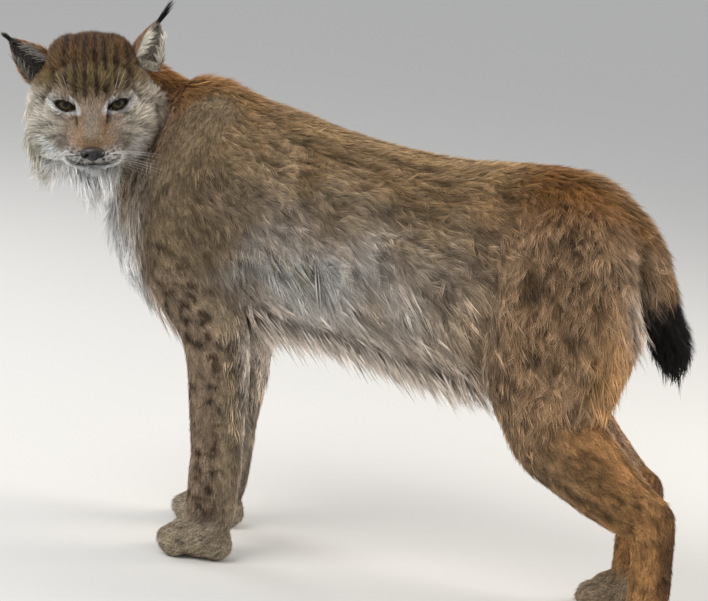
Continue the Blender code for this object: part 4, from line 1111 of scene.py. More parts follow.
def marks_and_lock_shade(lay, colour):
    """Dark dashes on the legs, soft spots on thigh and flank, and painted shade in the gaps between the
    locks.
    """
    # Dashes are fainter on the inner sides of the legs, and end before their rear edges.
    dash = smooth(0.20, 0.38, grain(lay.points * DASH_SHAPE, DASH_SIZE, 21))
    dash = dash * (0.25 + 0.75 * smooth(-0.2, 0.4, lay.measures["outside"]))
    dash = dash * smooth(0.030, 0.004, lay.measures["behind"])
    patterns = {
        "dash": dash,
        # Painted shade in the gaps between locks, where the lock pattern is low.
        "painted lock shade": smooth(0.02, 0.42, -lay.clump),
        "blot": smooth(0.30, 0.60, grain(lay.points * (0.6, 1, 1), BLOT_SIZE, 23)),
    }
    amount = sum(
        lay.weights[part] * patterns[pattern] * strength * inside(lay.measures, bands)
        for part, pattern, strength, bands in MARKS
    )
    return mix(colour, tone("spot"), np.clip(amount * (1 - lay.paw), 0, 0.9))


def ear_colours(lay):
    """Dark backs with a grey patch, the right inside painted dark as shade and the left one pale, tan along
    the rim.
    """
    colour = np.tile(tone("ear"), (len(lay.points), 1))
    for side in SIDES:
        place, length = ear_place(side)
        own = own_axes(place, lay.points)
        facing = (lay.normals @ np.array(place.inverted())[:3, :3].T)[:, 1]
        along = np.clip(own[:, 2] / length, 0, 1)
        shares, widths, _ = zip(*EAR_SHAPE)
        edge = EAR_HALF_WIDTH * np.interp(along, shares, widths)
        measures = {
            "along": along, "facing": facing, "back": facing < 0, "edge": np.abs(own[:, 0]) / edge,
            "patch": np.hypot(own[:, 0], (own[:, 2] - length * 0.45) * 0.7),
        }
        near = lay.weights[f"ear_{side}"] > 0.4
        colour[near] = paint({"ear coat": EAR_COATS[side]}, measures)["ear coat"][near]
    return colour


def coat_colours(lay):
    """The colour of the coat at every point of the skin."""
    w, ahead = lay.weights, lay.measures["ahead"]
    # Body colours are weighted by the body's share, which is undone where there is one.
    body = np.clip(1 - w["head"] - w["ear"], 0, 1)
    colour = marks_and_lock_shade(lay, body_colours(lay)) / np.maximum(0.02, body)[:, None]
    colour = np.clip(np.where((body > 0.02)[:, None], colour, tone("shoulder")), 0, 0.9)
    head = np.clip(w["head"] - w["ear"], 0, 1)
    head = np.where(ahead > 0.0, head, head * smooth(-0.055, -0.030, ahead))
    face = paint({"face coat": FACE_COAT}, lay.measures, lay.measures["patchy"])["face coat"]
    colour = mix(colour, face, head)
    colour = mix(colour, ear_colours(lay), smooth(0.3, 0.6, w["ear"]))
    # Fine ticking all over; on the body, painted light on the crowns of locks and strands and painted shade
    # in the gaps between them.
    ticking_and_lock_shade = 1 + 0.20 * grain(lay.points, 0.006, 41) + 0.10 * grain(lay.points, 0.016, 42)
    ticking_and_lock_shade = ticking_and_lock_shade + (0.42 * lay.clump + 0.46 * lay.strands) * body
    return np.clip(colour * ticking_and_lock_shade[:, None], 0.002, 0.95)


def growth(lay):
    """For each coat piece, where it grows on the skin."""
    w, x = lay.weights, lay.measures["x"]
    furred = 1.0
    for bands in BARE.values():
        furred = furred * (1 - inside(lay.measures, bands))
    head = (w["head"] + w["ear"]) > 0.5
    front = head & (lay.measures["ahead"] > 0.018) & (w["ear"] < 0.5)
    left = lay.measures["y"] < 0
    body = ~head & (w["leg"] <= 0.5)
    legs = ~head & (w["leg"] > 0.5)
    where = {"face": front, "crown": head & ~front, "forelegs": legs & (x < 0), "hindlegs": legs & (x >= 0)}
    reach = BODY_THIRD
    for end, there in (("front", x < -reach), ("middle", (x >= -reach) & (x < reach)), ("rear", x >= reach)):
        where[f"{end} left"] = body & left & there
        where[f"{end} right"] = body & ~left & there
    return {name: mask * furred for name, mask in where.items()}


def lock_growth(lay):
    """Where long locks grow, how long they are and how they hang."""
    w, h, p, n = lay.weights, lay.in_head, lay.points, lay.normals
    size = len(p)
    zero = np.zeros(size)
    trunk, thigh, on_head = w["trunk"] > 0.5, w["thigh"] > 0.5, w["head"] > 0.5
    where = {
        "fringe": trunk, "side fringe": trunk & (lay.measures["level"] > 0.1),
        "breast": (w["trunk"] + w["neck"] > 0.5) & (n[:, 0] < 0.1), "rear": thigh,
        "knee": (w["thigh"] > 0.4) & (lay.measures["behind"] < 0.05), "elbow": w["fore"] > 0.5,
        "tail": w["tail"] > 0.5, "ruff": on_head, "beard": on_head,
    }
    outwards = np.sign(h[:, 0]) * (0.15 + np.abs(h[:, 0]) * 4.5)
    ways = {
        "tail": lay.run["tail"],
        "ruff": np.stack([outwards, zero - 0.12, zero - 0.75], axis=1) @ HEAD_TURNED.T,
        "beard": np.stack([h[:, 0] * 5, zero + 0.05, zero - 0.95], axis=1) @ HEAD_TURNED.T,
    }
    grows = np.zeros(size)
    length = np.full(size, 0.03)
    lie = lay.lie.copy()
    for name, (reach, way, free, bands) in LOCKS.items():
        mask = inside(lay.measures, bands) * where[name]
        run = ways[name] if way is None else np.tile(np.array(way, dtype=float), (size, 1))
        stronger = mask > grows
        grows = np.maximum(grows, mask)
        flat = unit(run - n * ((run * n).sum(axis=1) * (1 - free))[:, None])
        length[stronger] = reach
        lie[stronger] = flat[stronger]
    side = np.cross(n, lie)
    angle = 0.30 * grain(p, 0.03, 51) + 0.25 * grain(p, 0.012, 52)
    lie = lie * np.cos(angle)[:, None] + side * np.sin(angle)[:, None]
    length = length * (1 + 0.25 * grain(p, 0.015, 53))
    return grows * smooth(0.02, 0.05, lay.measures["z"]), length, lie


def store(mesh, name, kind, values):
    """Keeps one value for each point of a mesh as a named attribute."""
    layer = mesh.attributes.get(name) or mesh.attributes.new(name, kind, "POINT")
    field = {"FLOAT": "value", "FLOAT_VECTOR": "vector", "FLOAT_COLOR": "color"}[kind]
    layer.data.foreach_set(field, np.ascontiguousarray(values, dtype=np.float32).ravel())


def store_colour(mesh, colour):
    """Keeps the coat's colour at each point of a mesh, and shades the mesh smoothly."""
    store(mesh, "coat colour", "FLOAT_COLOR", np.c_[np.clip(colour, 0, 1), np.ones(len(colour))])
    for face in mesh.polygons:
        face.use_smooth = True


def mesh_points(mesh):
    points = np.zeros(len(mesh.vertices) * 3, dtype=np.float32)
    normals = np.zeros(len(mesh.vertices) * 3, dtype=np.float32)
    mesh.vertices.foreach_get("co", points)
    mesh.vertices.foreach_get("normal", normals)
    return points.reshape(-1, 3).astype(float), normals.reshape(-1, 3).astype(float)


# Tufts

# The side of the patch of the map that one tuft or hair takes, and the lowest height of a hair's end.
PATCH_SIZE = 0.003
LOWEST_HAIR = 0.0006
# Least distance between tufts of the legs.
LEG_SPACING = 0.0032


def hair(bm, layers, start, yaw, length, half_width, thickness, bends, arch, curl):
    """One flat hair of a tuft along +Y: three-sided, drawn to a point, in units that the tuft scales."""
    tip_layer, uv_layer = layers
    rings = []
    for t in bends:
        middle = Vector((
            start[0] + math.sin(yaw) * t * length + curl * math.sin(t * 4.2) * 0.5,
            t * length,
            start[1] + arch * math.sin(math.pi * min(t * 1.15, 1.0)) * 0.5,
        ))
        wide = half_width * (1 - t) ** 0.6
        ring = []
        for side, height in ((-1, 0), (1, 0), (0, 1)):
            vert = bm.verts.new(middle + Vector((side * wide, 0, height * thickness * (1 - t) ** 0.6)))
            vert[tip_layer] = t
            ring.append(vert)
        rings.append(ring)
    tip = bm.verts.new((
        start[0] + math.sin(yaw) * length + curl * math.sin(4.2) * 0.5, length, start[1] + arch * 0.1
    ))
    tip[tip_layer] = 1.0
    faces = [bm.faces.new((rings[0][2], rings[0][1], rings[0][0]))]
    for low, high in zip(rings, rings[1:]):
        for k in range(3):
            n = (k + 1) % 3
            faces.append(bm.faces.new((low[k], low[n], high[n])))
            faces.append(bm.faces.new((low[k], high[n], high[k])))
    for k in range(3):
        faces.append(bm.faces.new((rings[-1][k], rings[-1][(k + 1) % 3], tip)))
    for face in faces:
        face.smooth = True
        for loop in face.loops:
            loop[uv_layer].uv = (0.5 + 0.4 * loop.vert.co.x / 3, loop.vert.co.y * 0.9)
    return faces


# Kinds of tuft: number of hairs, places of a hair's rings, arch, curl, half width and thickness of a hair.
TUFT_KINDS = {
    "short": (3, ((0.0,), (0.0,), (0.0,)), 0.0, 0.0, 0.42, 0.35),
    "body": (3, ((0.0, 0.5), (0.0,), (0.0,)), 0.9, 0.4, 0.44, 0.38),
    "lock": (4, ((0.0, 0.35, 0.7), (0.0, 0.5), (0.0, 0.5), (0.0,)), 2.0, 1.4, 0.50, 0.45),
}
TUFT_VARIANTS = 4
# Between what each hair of a tuft draws its numbers, in the order of the draws: places aside and up,
# then shares of the fan, length, width, arch and curl.
TUFT_DRAWS = {
    "aside": (-0.4, 0.4), "up": (-0.3, 0.3), "fan": (0.4, 2.2), "length": (0.70, 1.0), "width": (0.8, 1.2),
    "arch": (0.3, 1.0), "curl": (-1, 1),
}


def tuft_collection(kind):
    """A few variants of one kind of tuft, one unit long and a few units wide."""
    hairs, bends, arch, curl, half_width, thickness = TUFT_KINDS[kind]
    rng = random.Random(kind)
    kinds = bpy.data.collections.new(f"{kind} tufts")
    for variant in range(TUFT_VARIANTS):
        bm = bmesh.new()
        layers = (bm.verts.layers.float.new("tip"), bm.loops.layers.uv.new("patch"))
        for k in range(hairs):
            spread = (k - (hairs - 1) / 2) / max(1, hairs - 1)
            drawn = {name: rng.uniform(*ends) for name, ends in TUFT_DRAWS.items()}
            hair(
                bm, layers, (spread * 2.0 + drawn["aside"], drawn["up"]), spread * drawn["fan"],
                drawn["length"], half_width * drawn["width"], thickness, bends[k], arch * drawn["arch"],
                curl * drawn["curl"],
            )
        bmesh.ops.recalc_face_normals(bm, faces=bm.faces)
        mesh = bpy.data.meshes.new(f"{kind} tuft {variant}")
        bm.to_mesh(mesh)
        bm.free()
        kinds.objects.link(bpy.data.objects.new(mesh.name, mesh))
    return kinds


def remove_collection(kinds):
    for obj in list(kinds.objects):
        remove_object(obj)
    bpy.data.collections.remove(kinds)


def coat_tree():
    """Geometry nodes that set tufts on a skin, turned to the lie of the hair there."""
    tree = bpy.data.node_groups.new("coat of tufts", "GeometryNodeTree")
    sockets = (
        ("Skin", "NodeSocketGeometry", None), ("Tufts", "NodeSocketCollection", None),
        ("Spacing", "NodeSocketFloat", 0.004), ("Hair width", "NodeSocketFloat", 0.0016),
        ("Length share", "NodeSocketFloat", 1.0), ("Unevenness", "NodeSocketFloat", 0.25),
        ("Patch size", "NodeSocketFloat", 0.003), ("Seed", "NodeSocketInt", 1),
        ("Material", "NodeSocketMaterial", None),
    )
    for name, kind, default in sockets:
        socket = tree.interface.new_socket(name=name, in_out="INPUT", socket_type=kind)
        if default is not None:
            socket.default_value = default
    tree.interface.new_socket(name="Coat", in_out="OUTPUT", socket_type="NodeSocketGeometry")
    given = tree.nodes.new("NodeGroupInput").outputs
    # What is kept on the skin and on the tufts.
    kept = {}
    for name, kind in (
        ("grows", "FLOAT"), ("lie", "FLOAT_VECTOR"), ("hair length", "FLOAT"), ("patch", "FLOAT_VECTOR"),
        ("OFBake", "FLOAT_VECTOR"),
    ):
        node = add_node(tree, "GeometryNodeInputNamedAttribute", {"Name": name}, data_type=kind)
        kept[name] = node.outputs["Attribute"]
    # What is drawn for each tuft. The sockets of a draw come in pairs: for vectors, fractions and whole
    # numbers. The numbers make the draws differ from each other.
    least = add_node(tree, "ShaderNodeMath", {0: 1.0, 1: given["Unevenness"]}, operation="SUBTRACT")
    most = add_node(tree, "ShaderNodeMath", {0: 1.0, 1: given["Unevenness"]}, operation="ADD")
    drawn = {}
    for number, name, kind, low, high in (
        (11.0, "shade", "FLOAT", 0.0, 1.0),
        (12.0, "turn", "FLOAT_VECTOR", (-0.10, -0.5, -0.28), (0.12, 0.5, 0.28)),
        (13.0, "length", "FLOAT", least.outputs[0], most.outputs[0]),
        (14.0, "variant", "INT", 0, TUFT_VARIANTS - 1),
    ):
        pair = ("FLOAT_VECTOR", "FLOAT", "INT").index(kind)
        seed = add_node(tree, "ShaderNodeMath", {0: given["Seed"], 1: number}, operation="ADD")
        node = add_node(tree, "FunctionNodeRandomValue", {
            2 * pair: low, 2 * pair + 1: high, "Seed": seed.outputs[0],
        }, data_type=kind)
        drawn[name] = node.outputs[pair]

    spread = add_node(tree, "GeometryNodeDistributePointsOnFaces", {
        "Mesh": given["Skin"], "Distance Min": given["Spacing"], "Density Max": 1e7,
        "Density Factor": kept["grows"], "Seed": given["Seed"],
    }, distribute_method="POISSON")
    shaded = add_node(tree, "GeometryNodeStoreNamedAttribute", {
        "Geometry": spread.outputs["Points"], "Name": "shade", "Value": drawn["shade"],
    }, data_type="FLOAT", domain="POINT")
    along = add_node(tree, "FunctionNodeAxesToRotation", {
        "Primary Axis": kept["lie"], "Secondary Axis": spread.outputs["Normal"],
    }, primary_axis="Y", secondary_axis="Z")
    jitter = add_node(tree, "FunctionNodeEulerToRotation", {"Euler": drawn["turn"]})
    turned = add_node(tree, "FunctionNodeRotateRotation", {
        "Rotation": along.outputs["Rotation"], "Rotate By": jitter.outputs["Rotation"],
    }, rotation_space="LOCAL")
    reach = add_node(tree, "ShaderNodeMath", {
        0: kept["hair length"], 1: drawn["length"],
    }, operation="MULTIPLY")
    reach = add_node(tree, "ShaderNodeMath", {
        0: reach.outputs[0], 1: given["Length share"],
    }, operation="MULTIPLY")
    size = add_node(tree, "ShaderNodeCombineXYZ", {
        "X": given["Hair width"], "Y": reach.outputs[0], "Z": given["Hair width"],
    })
    kinds = add_node(tree, "GeometryNodeCollectionInfo", {
        "Collection": given["Tufts"], "Separate Children": True, "Reset Children": True,
    })
    placed = add_node(tree, "GeometryNodeInstanceOnPoints", {
        "Points": shaded.outputs["Geometry"], "Instance": kinds.outputs[0], "Pick Instance": True,
        "Instance Index": drawn["variant"], "Rotation": turned.outputs["Rotation"],
        "Scale": size.outputs["Vector"],
    })
    solid = add_node(tree, "GeometryNodeRealizeInstances", {"Geometry": placed.outputs["Instances"]})
    patch = add_node(tree, "ShaderNodeVectorMath", {
        0: kept["patch"], "Scale": given["Patch size"],
    }, operation="SCALE")
    bake = add_node(tree, "ShaderNodeVectorMath", {
        0: kept["OFBake"], 1: patch.outputs["Vector"],
    }, operation="ADD")
    mapped = add_node(tree, "GeometryNodeStoreNamedAttribute", {
        "Geometry": solid.outputs["Geometry"], "Name": "OFBake", "Value": bake.outputs["Vector"],
    }, data_type="FLOAT2", domain="CORNER")
    dressed = add_node(tree, "GeometryNodeSetMaterial", {
        "Geometry": mapped.outputs["Geometry"], "Material": given["Material"],
    })
    add_node(tree, "NodeGroupOutput", {"Coat": dressed.outputs["Geometry"]})
    return tree


def grow_tufts(name, skin, kind, grows, length, lie, spacing, width, material, unevenness=0.22):
    """A piece of the coat as a plain mesh: tufts of one kind where it grows on the skin."""
    coat = bpy.context.scene.lynx_coat
    base = new_object(f"{name} base", skin.data.copy())
    store(base.data, "grows", "FLOAT", grows)
    store(base.data, "hair length", "FLOAT", length)
    store(base.data, "lie", "FLOAT_VECTOR", lie)
    kinds = tuft_collection(kind)
    tree = bpy.data.node_groups.get("coat of tufts") or coat_tree()
    modifier = base.modifiers.new("coat", "NODES")
    modifier.node_group = tree
    values = {
        "Tufts": kinds, "Spacing": spacing, "Hair width": width, "Length share": coat.length,
        "Unevenness": unevenness, "Patch size": PATCH_SIZE, "Seed": coat.seed, "Material": material,
    }
    for item in tree.interface.items_tree:
        if item.in_out == "INPUT" and item.name in values:
            modifier[item.identifier] = values[item.name]
    graph = bpy.context.evaluated_depsgraph_get()
    mesh = bpy.data.meshes.new_from_object(base.evaluated_get(graph), depsgraph=graph)
    mesh.name = name
    remove_object(base)
    remove_collection(kinds)
    for layer in [u.name for u in mesh.uv_layers if u.name != "OFBake"]:
        mesh.uv_layers.remove(mesh.uv_layers[layer])
    for attribute in ("grows", "hair length", "lie"):
        if attribute in mesh.attributes:
            mesh.attributes.remove(mesh.attributes[attribute])
    keep_above_floor(mesh)
    return new_object(name, mesh)


def keep_above_floor(mesh):
    """Lifts the ends of hairs that would reach below the soles."""
    points = np.zeros(len(mesh.vertices) * 3, dtype=np.float32)
    mesh.vertices.foreach_get("co", points)
    points[2::3] = np.maximum(points[2::3], LOWEST_HAIR)
    mesh.vertices.foreach_set("co", points)


# Materials


def new_material(name):
    """A material with only its shader, its node tree and the shader."""
    material = bpy.data.materials.new(name)
    material.use_nodes = True
    return material, material.node_tree, material.node_tree.nodes["Principled BSDF"]


def hide_material():
    """Short-haired hide: the coat's own colour under painted shade of the tufts above it, darkest in the
    hollows between hair roots, and softly uneven.
    """
    material, tree, shader = new_material("short fur over hide")
    colour = add_node(tree, "ShaderNodeVertexColor", layer_name="coat colour")
    place = add_node(tree, "ShaderNodeTexCoord")
    # Hair roots 1.5 mm apart.
    fine = add_node(tree, "ShaderNodeTexNoise", {
        "Vector": place.outputs["Object"], "Scale": 1000 / 1.5, "Detail": 3.0,
    })
    # Painted shade under the tufts: the colour drops to between 0.42 and 0.80 of itself, lowest in the
    # hollows.
    deep = add_node(tree, "ShaderNodeMapRange", {
        "Value": fine.outputs["Fac"], "From Min": 0.3, "From Max": 0.7, "To Min": 0.42, "To Max": 0.80,
    })
    shade = add_node(tree, "ShaderNodeVectorMath", {
        0: colour.outputs["Color"], "Scale": deep.outputs["Result"],
    }, operation="SCALE")
    bump = add_node(tree, "ShaderNodeBump", {
        "Height": fine.outputs["Fac"], "Strength": 0.5, "Distance": 0.001,
    })
    set_inputs(shader, {
        "Base Color": shade.outputs["Vector"], "Normal": bump.outputs["Normal"], "Roughness": 0.85,
        "Specular IOR Level": 0.15,
    })
    return material


def fur_material():
    """Guard hair: keratin fibres, dull at the root and with a soft gloss, paler towards the tip."""
    material, tree, shader = new_material("lynx guard hair")
    colour = add_node(tree, "ShaderNodeVertexColor", layer_name="coat colour")
    tip = add_node(tree, "ShaderNodeAttribute", attribute_name="tip")
    shade = add_node(tree, "ShaderNodeAttribute", attribute_name="shade")
    # Tips are lighter and creamier than the warm, dark roots, and no two tufts are equally light.
    ramps = {}
    for name, source, start, end in (
        ("along", tip, 0.50, 1.66), ("each", shade, 0.60, 1.46), ("rich", tip, 1.12, 0.84),
    ):
        ramp = add_node(tree, "ShaderNodeMapRange", {
            "Value": source.outputs["Fac"], "To Min": start, "To Max": end,
        })
        ramps[name] = ramp.outputs["Result"]
    both = add_node(tree, "ShaderNodeMath", {0: ramps["along"], 1: ramps["each"]}, operation="MULTIPLY")
    toned = add_node(tree, "ShaderNodeHueSaturation", {
        "Color": colour.outputs["Color"], "Saturation": ramps["rich"], "Value": both.outputs[0],
    })
    set_inputs(shader, {"Base Color": toned.outputs["Color"], "Roughness": 0.62, "Specular IOR Level": 0.22})
    return material


def leather_material():
    """Bare nose leather: dark brown, pinkish towards its top edge, with fine pebbles and a damp gloss."""
    material, tree, shader = new_material("nose leather, damp")
    colour = add_node(tree, "ShaderNodeVertexColor", layer_name="coat colour")
    place = add_node(tree, "ShaderNodeTexCoord")
    # Pebbles 0.9 mm across.
    pebbles = add_node(tree, "ShaderNodeTexVoronoi", {"Vector": place.outputs["Object"], "Scale": 1000 / 0.9})
    bump = add_node(tree, "ShaderNodeBump", {
        "Height": pebbles.outputs["Distance"], "Strength": 0.35, "Distance": 0.0004,
    })
    set_inputs(shader, {
        "Base Color": colour.outputs["Color"], "Normal": bump.outputs["Normal"], "Roughness": 0.36,
        "Specular IOR Level": 0.5,
    })
    return material


def eye_material():
    """Wet eye: a coloured iris under a clear, glossy cornea."""
    material, tree, shader = new_material("eye, wet cornea over iris")
    colour = add_node(tree, "ShaderNodeVertexColor", layer_name="coat colour")
    set_inputs(shader, {
        "Base Color": colour.outputs["Color"], "Roughness": 0.30, "Specular IOR Level": 0.10,
        "Coat Weight": 0.3, "Coat Roughness": 0.03,
    })
    return material


def whisker_material():
    """Whiskers: stiff pale keratin with a slight gloss."""
    material, _, shader = new_material("whisker keratin")
    set_inputs(shader, {"Base Color": (*WHISKER_COLOUR, 1.0), "Roughness": 0.4})
    return material


# Operators


class LYNX_OT_skin(bpy.types.Operator):
    """Builds the skin and works out the colour and lie of the coat on it"""
    bl_idname = "lynx.skin"
    bl_label = "Skin"

    def execute(self, context):
        skin = body_skin()
        head = head_skin()
        for side in SIDES:
            boolean(head, ear_cup(side), "UNION")
        boolean(skin, head, "UNION")
        keep_largest(skin)
        unwrap(skin)
        store_colour(skin.data, coat_colours(Lay(*mesh_points(skin.data))))
        skin.data.materials.clear()
        skin.data.materials.append(hide_material())
        skin.name = "skin"
        return {"FINISHED"}


class LYNX_OT_coat(bpy.types.Operator):
    """Grows the short coat over the whole skin"""
    bl_idname = "lynx.coat"
    bl_label = "Coat"

    def execute(self, context):
        skin = bpy.data.objects["skin"]
        coat = context.scene.lynx_coat
        lay = Lay(*mesh_points(skin.data))
        lie = lay.lie * np.cos(lay.stand)[:, None] + lay.normals * np.sin(lay.stand)[:, None]
        fur = fur_material()
        # Kind of tuft, spacing and hair width of head and legs; the rest is body coat.
        shorter = {
            "face": ("short", coat.face_spacing, 0.0005), "crown": ("short", coat.face_spacing * 1.3, 0.0006),
            "forelegs": ("short", LEG_SPACING, 0.0008), "hindlegs": ("short", LEG_SPACING, 0.0008),
        }
        for name, grows in growth(lay).items():
            kind, spacing, width = shorter.get(name, ("body", coat.spacing, 0.0012))
            made = grow_tufts(f"{name} fur", skin, kind, grows, lay.length, lie, spacing, width, fur)
            finish_piece(made)
        return {"FINISHED"}


class LYNX_OT_locks(bpy.types.Operator):
    """Grows the long locks of belly, breast, thighs, ruff, beard and tail"""
    bl_idname = "lynx.locks"
    bl_label = "Long locks"

    def execute(self, context):
        skin = bpy.data.objects["skin"]
        coat = context.scene.lynx_coat
        lay = Lay(*mesh_points(skin.data))
        grows, length, lie = lock_growth(lay)
        fur = bpy.data.materials["lynx guard hair"]
        head = (lay.weights["head"] > 0.5).astype(float)
        body = (1 - head) * grows
        # Where they grow, their spacing and the width of their hairs.
        for name, where, spacing, width in (
            ("ruff and beard locks", grows * head, coat.lock_spacing * 0.38, 0.0014),
            ("left body locks", body * (lay.points[:, 1] < 0), coat.lock_spacing, 0.0022),
            ("right body locks", body * (lay.points[:, 1] >= 0), coat.lock_spacing, 0.0022),
        ):
            made = grow_tufts(name, skin, "lock", where, length, lie, spacing, width, fur, 0.30)
            finish_piece(made)
        return {"FINISHED"}


# How many rings a long hair has.
STRAND_BENDS = 5
EAR_HAIR_RADIUS = 0.00055
WHISKER_RADIUS = 0.00020
WHISKER_LENGTHS = (0.045, 0.068)
WHISKER_COLOUR = linear("#E8E4DA")
# The whiskers over each eye: the height of their roots over the eye, their length and radius.
BROW_HEIGHT = 0.019
BROW_WHISKER = 0.030
BROW_WHISKER_RADIUS = 0.00022
# The pale hairs inside each ear, and their colour: the right ear is thinly haired, and its hairs are painted
# darker as shade.
EAR_HAIRS = {"right": 150, "left": 280}
EAR_TINTS = {"right": "#7D7870", "left": "#D2CEC2"}
TUFT_HAIRS = 70


def ear_hairs(side):
    """Starts, ways and lengths of the long pale hairs inside an ear and of its black tuft."""
    rng = random.Random(f"ear {side}")
    place, length = ear_place(side)
    turn = place.to_3x3()
    tuft, lean = EARS[side][-2:]
    out = []
    for _ in range(EAR_HAIRS[side]):
        edge = rng.choice((-1, 1))
        rise = rng.uniform(0.12, 0.62)
        start = Vector((edge * EAR_HALF_WIDTH * (0.86 - 0.35 * rise), EAR_DEPTH * 0.35, length * rise))
        way = Vector((-edge * rng.uniform(0.2, 0.9), rng.uniform(0.05, 0.45), rng.uniform(0.5, 1.1)))
        out.append((place @ start, (turn @ way).normalized(), rng.uniform(0.012, 0.024), "pale"))
    for _ in range(TUFT_HAIRS):
        start = Vector((
            rng.uniform(-0.0022, 0.0022), rng.uniform(-0.001, 0.001), length * rng.uniform(0.84, 0.95),
        ))
        way = Vector((rng.uniform(-0.10, 0.10) + lean, rng.uniform(-0.08, 0.08), 1.0))
        reach = tuft * rng.uniform(0.55, 1.0) + 0.006
        out.append((place @ start, (turn @ way).normalized(), reach, "black"))
    return out


def strand(bm, tip_layer, uv_layer, colour_layer, start, way, length, width, droop, colour, spot):
    """One long tapered hair that bends under its weight, with its patch of the map."""
    side = way.cross(UP).normalized() if abs(way.z) < 0.95 else Vector((1, 0, 0))
    lift = side.cross(way).normalized()
    rings = []
    for k in range(STRAND_BENDS):
        t = k / STRAND_BENDS
        middle = start + way * length * t + droop * length * t * t
        wide = width * (1 - t) ** 0.5
        ring = []
        for angle in (0, 2.094, 4.189):
            vert = bm.verts.new(middle + side * wide * math.cos(angle) + lift * wide * math.sin(angle))
            vert[tip_layer] = t
            vert[colour_layer] = (*colour, 1.0)
            ring.append(vert)
        rings.append(ring)
    tip = bm.verts.new(start + way * length + droop * length)
    tip[tip_layer] = 1.0
    tip[colour_layer] = (*colour, 1.0)
    faces = [bm.faces.new(rings[0])]
    for low, high in zip(rings, rings[1:]):
        for k in range(3):
            n = (k + 1) % 3
            faces.append(bm.faces.new((low[k], low[n], high[n], high[k])))
    for k in range(3):
        faces.append(bm.faces.new((rings[-1][k], rings[-1][(k + 1) % 3], tip)))
    for face in faces:
        face.smooth = True
        for loop in face.loops:
            loop[uv_layer].uv = (spot[0] + PATCH_SIZE * loop.vert[tip_layer], spot[1])


def strand_object(name, strands, material):
    """Many strands as one object."""
    bm = bmesh.new()
    tip_layer = bm.verts.layers.float.new("tip")
    colour_layer = bm.verts.layers.float_color.new("coat colour")
    uv_layer = bm.loops.layers.uv.new("OFBake")
    across = math.ceil(math.sqrt(len(strands)))
    for k, given in enumerate(strands):
        spot = ((k % across) / across, (k // across) / across)
        strand(bm, tip_layer, uv_layer, colour_layer, *given, spot)
    bmesh.ops.recalc_face_normals(bm, faces=bm.faces)
    mesh = bpy.data.meshes.new(name)
    bm.to_mesh(mesh)
    bm.free()
    mesh.materials.append(material)
    store(mesh, "shade", "FLOAT", np.full(len(mesh.vertices), 0.5))
    return new_object(name, mesh)


class LYNX_OT_ear_hair(bpy.types.Operator):
    """Sets the pale hair inside the ears and the black tufts on their tips"""
    bl_idname = "lynx.ear_hair"
    bl_label = "Ear hair"

    def execute(self, context):
        fur = bpy.data.materials["lynx guard hair"]
        droop = Vector((0, 0, -0.05))
        for side in SIDES:
            # The right ear's pale hairs take a darker tint, which is painted shade.
            tints = {"pale": linear(EAR_TINTS[side]), "black": linear(COAT["black"])}
            strands = [
                (start, way, length, EAR_HAIR_RADIUS, droop, tints[tint])
                for start, way, length, tint in ear_hairs(side)
            ]
            finish_piece(strand_object(f"{side} ear hair", strands, fur))
        return {"FINISHED"}


class LYNX_OT_whiskers(bpy.types.Operator):
    """Sets rows of whiskers on both sides of the muzzle and over the eyes"""
    bl_idname = "lynx.whiskers"
    bl_label = "Whiskers"

    def execute(self, context):
        rng = random.Random(5)
        turn = HEAD.to_3x3()
        tree = tree_of(bpy.data.objects["skin"])
        strands = []
        for sign in SIDES.values():
            for row, k in itertools.product(range(3), range(4)):
                height = MOUTH_MIDDLE + 0.0065 + 0.0042 * row + 0.0006 * k
                root = from_ahead(tree, sign * (0.014 + 0.0045 * k), height)
                way = Vector((sign * (0.80 + 0.10 * k), 0.14 - 0.09 * k, -0.18 + 0.13 * row)).normalized()
                length = rng.uniform(*WHISKER_LENGTHS)
                droop = turn @ Vector((sign * 0.10, -0.25, -0.22))
                strands.append((root, turn @ way, length, WHISKER_RADIUS, droop, WHISKER_COLOUR))
            for k in range(2):
                root = from_ahead(tree, sign * (0.030 + 0.004 * k), BROW_HEIGHT)
                way = Vector((sign * (0.25 + 0.12 * k), 0.35, 0.9)).normalized()
                droop = turn @ Vector((0, -0.25, 0))
                strands.append((root, turn @ way, BROW_WHISKER, BROW_WHISKER_RADIUS, droop, WHISKER_COLOUR))
        finish_piece(strand_object("whiskers", strands, whisker_material()))
        return {"FINISHED"}


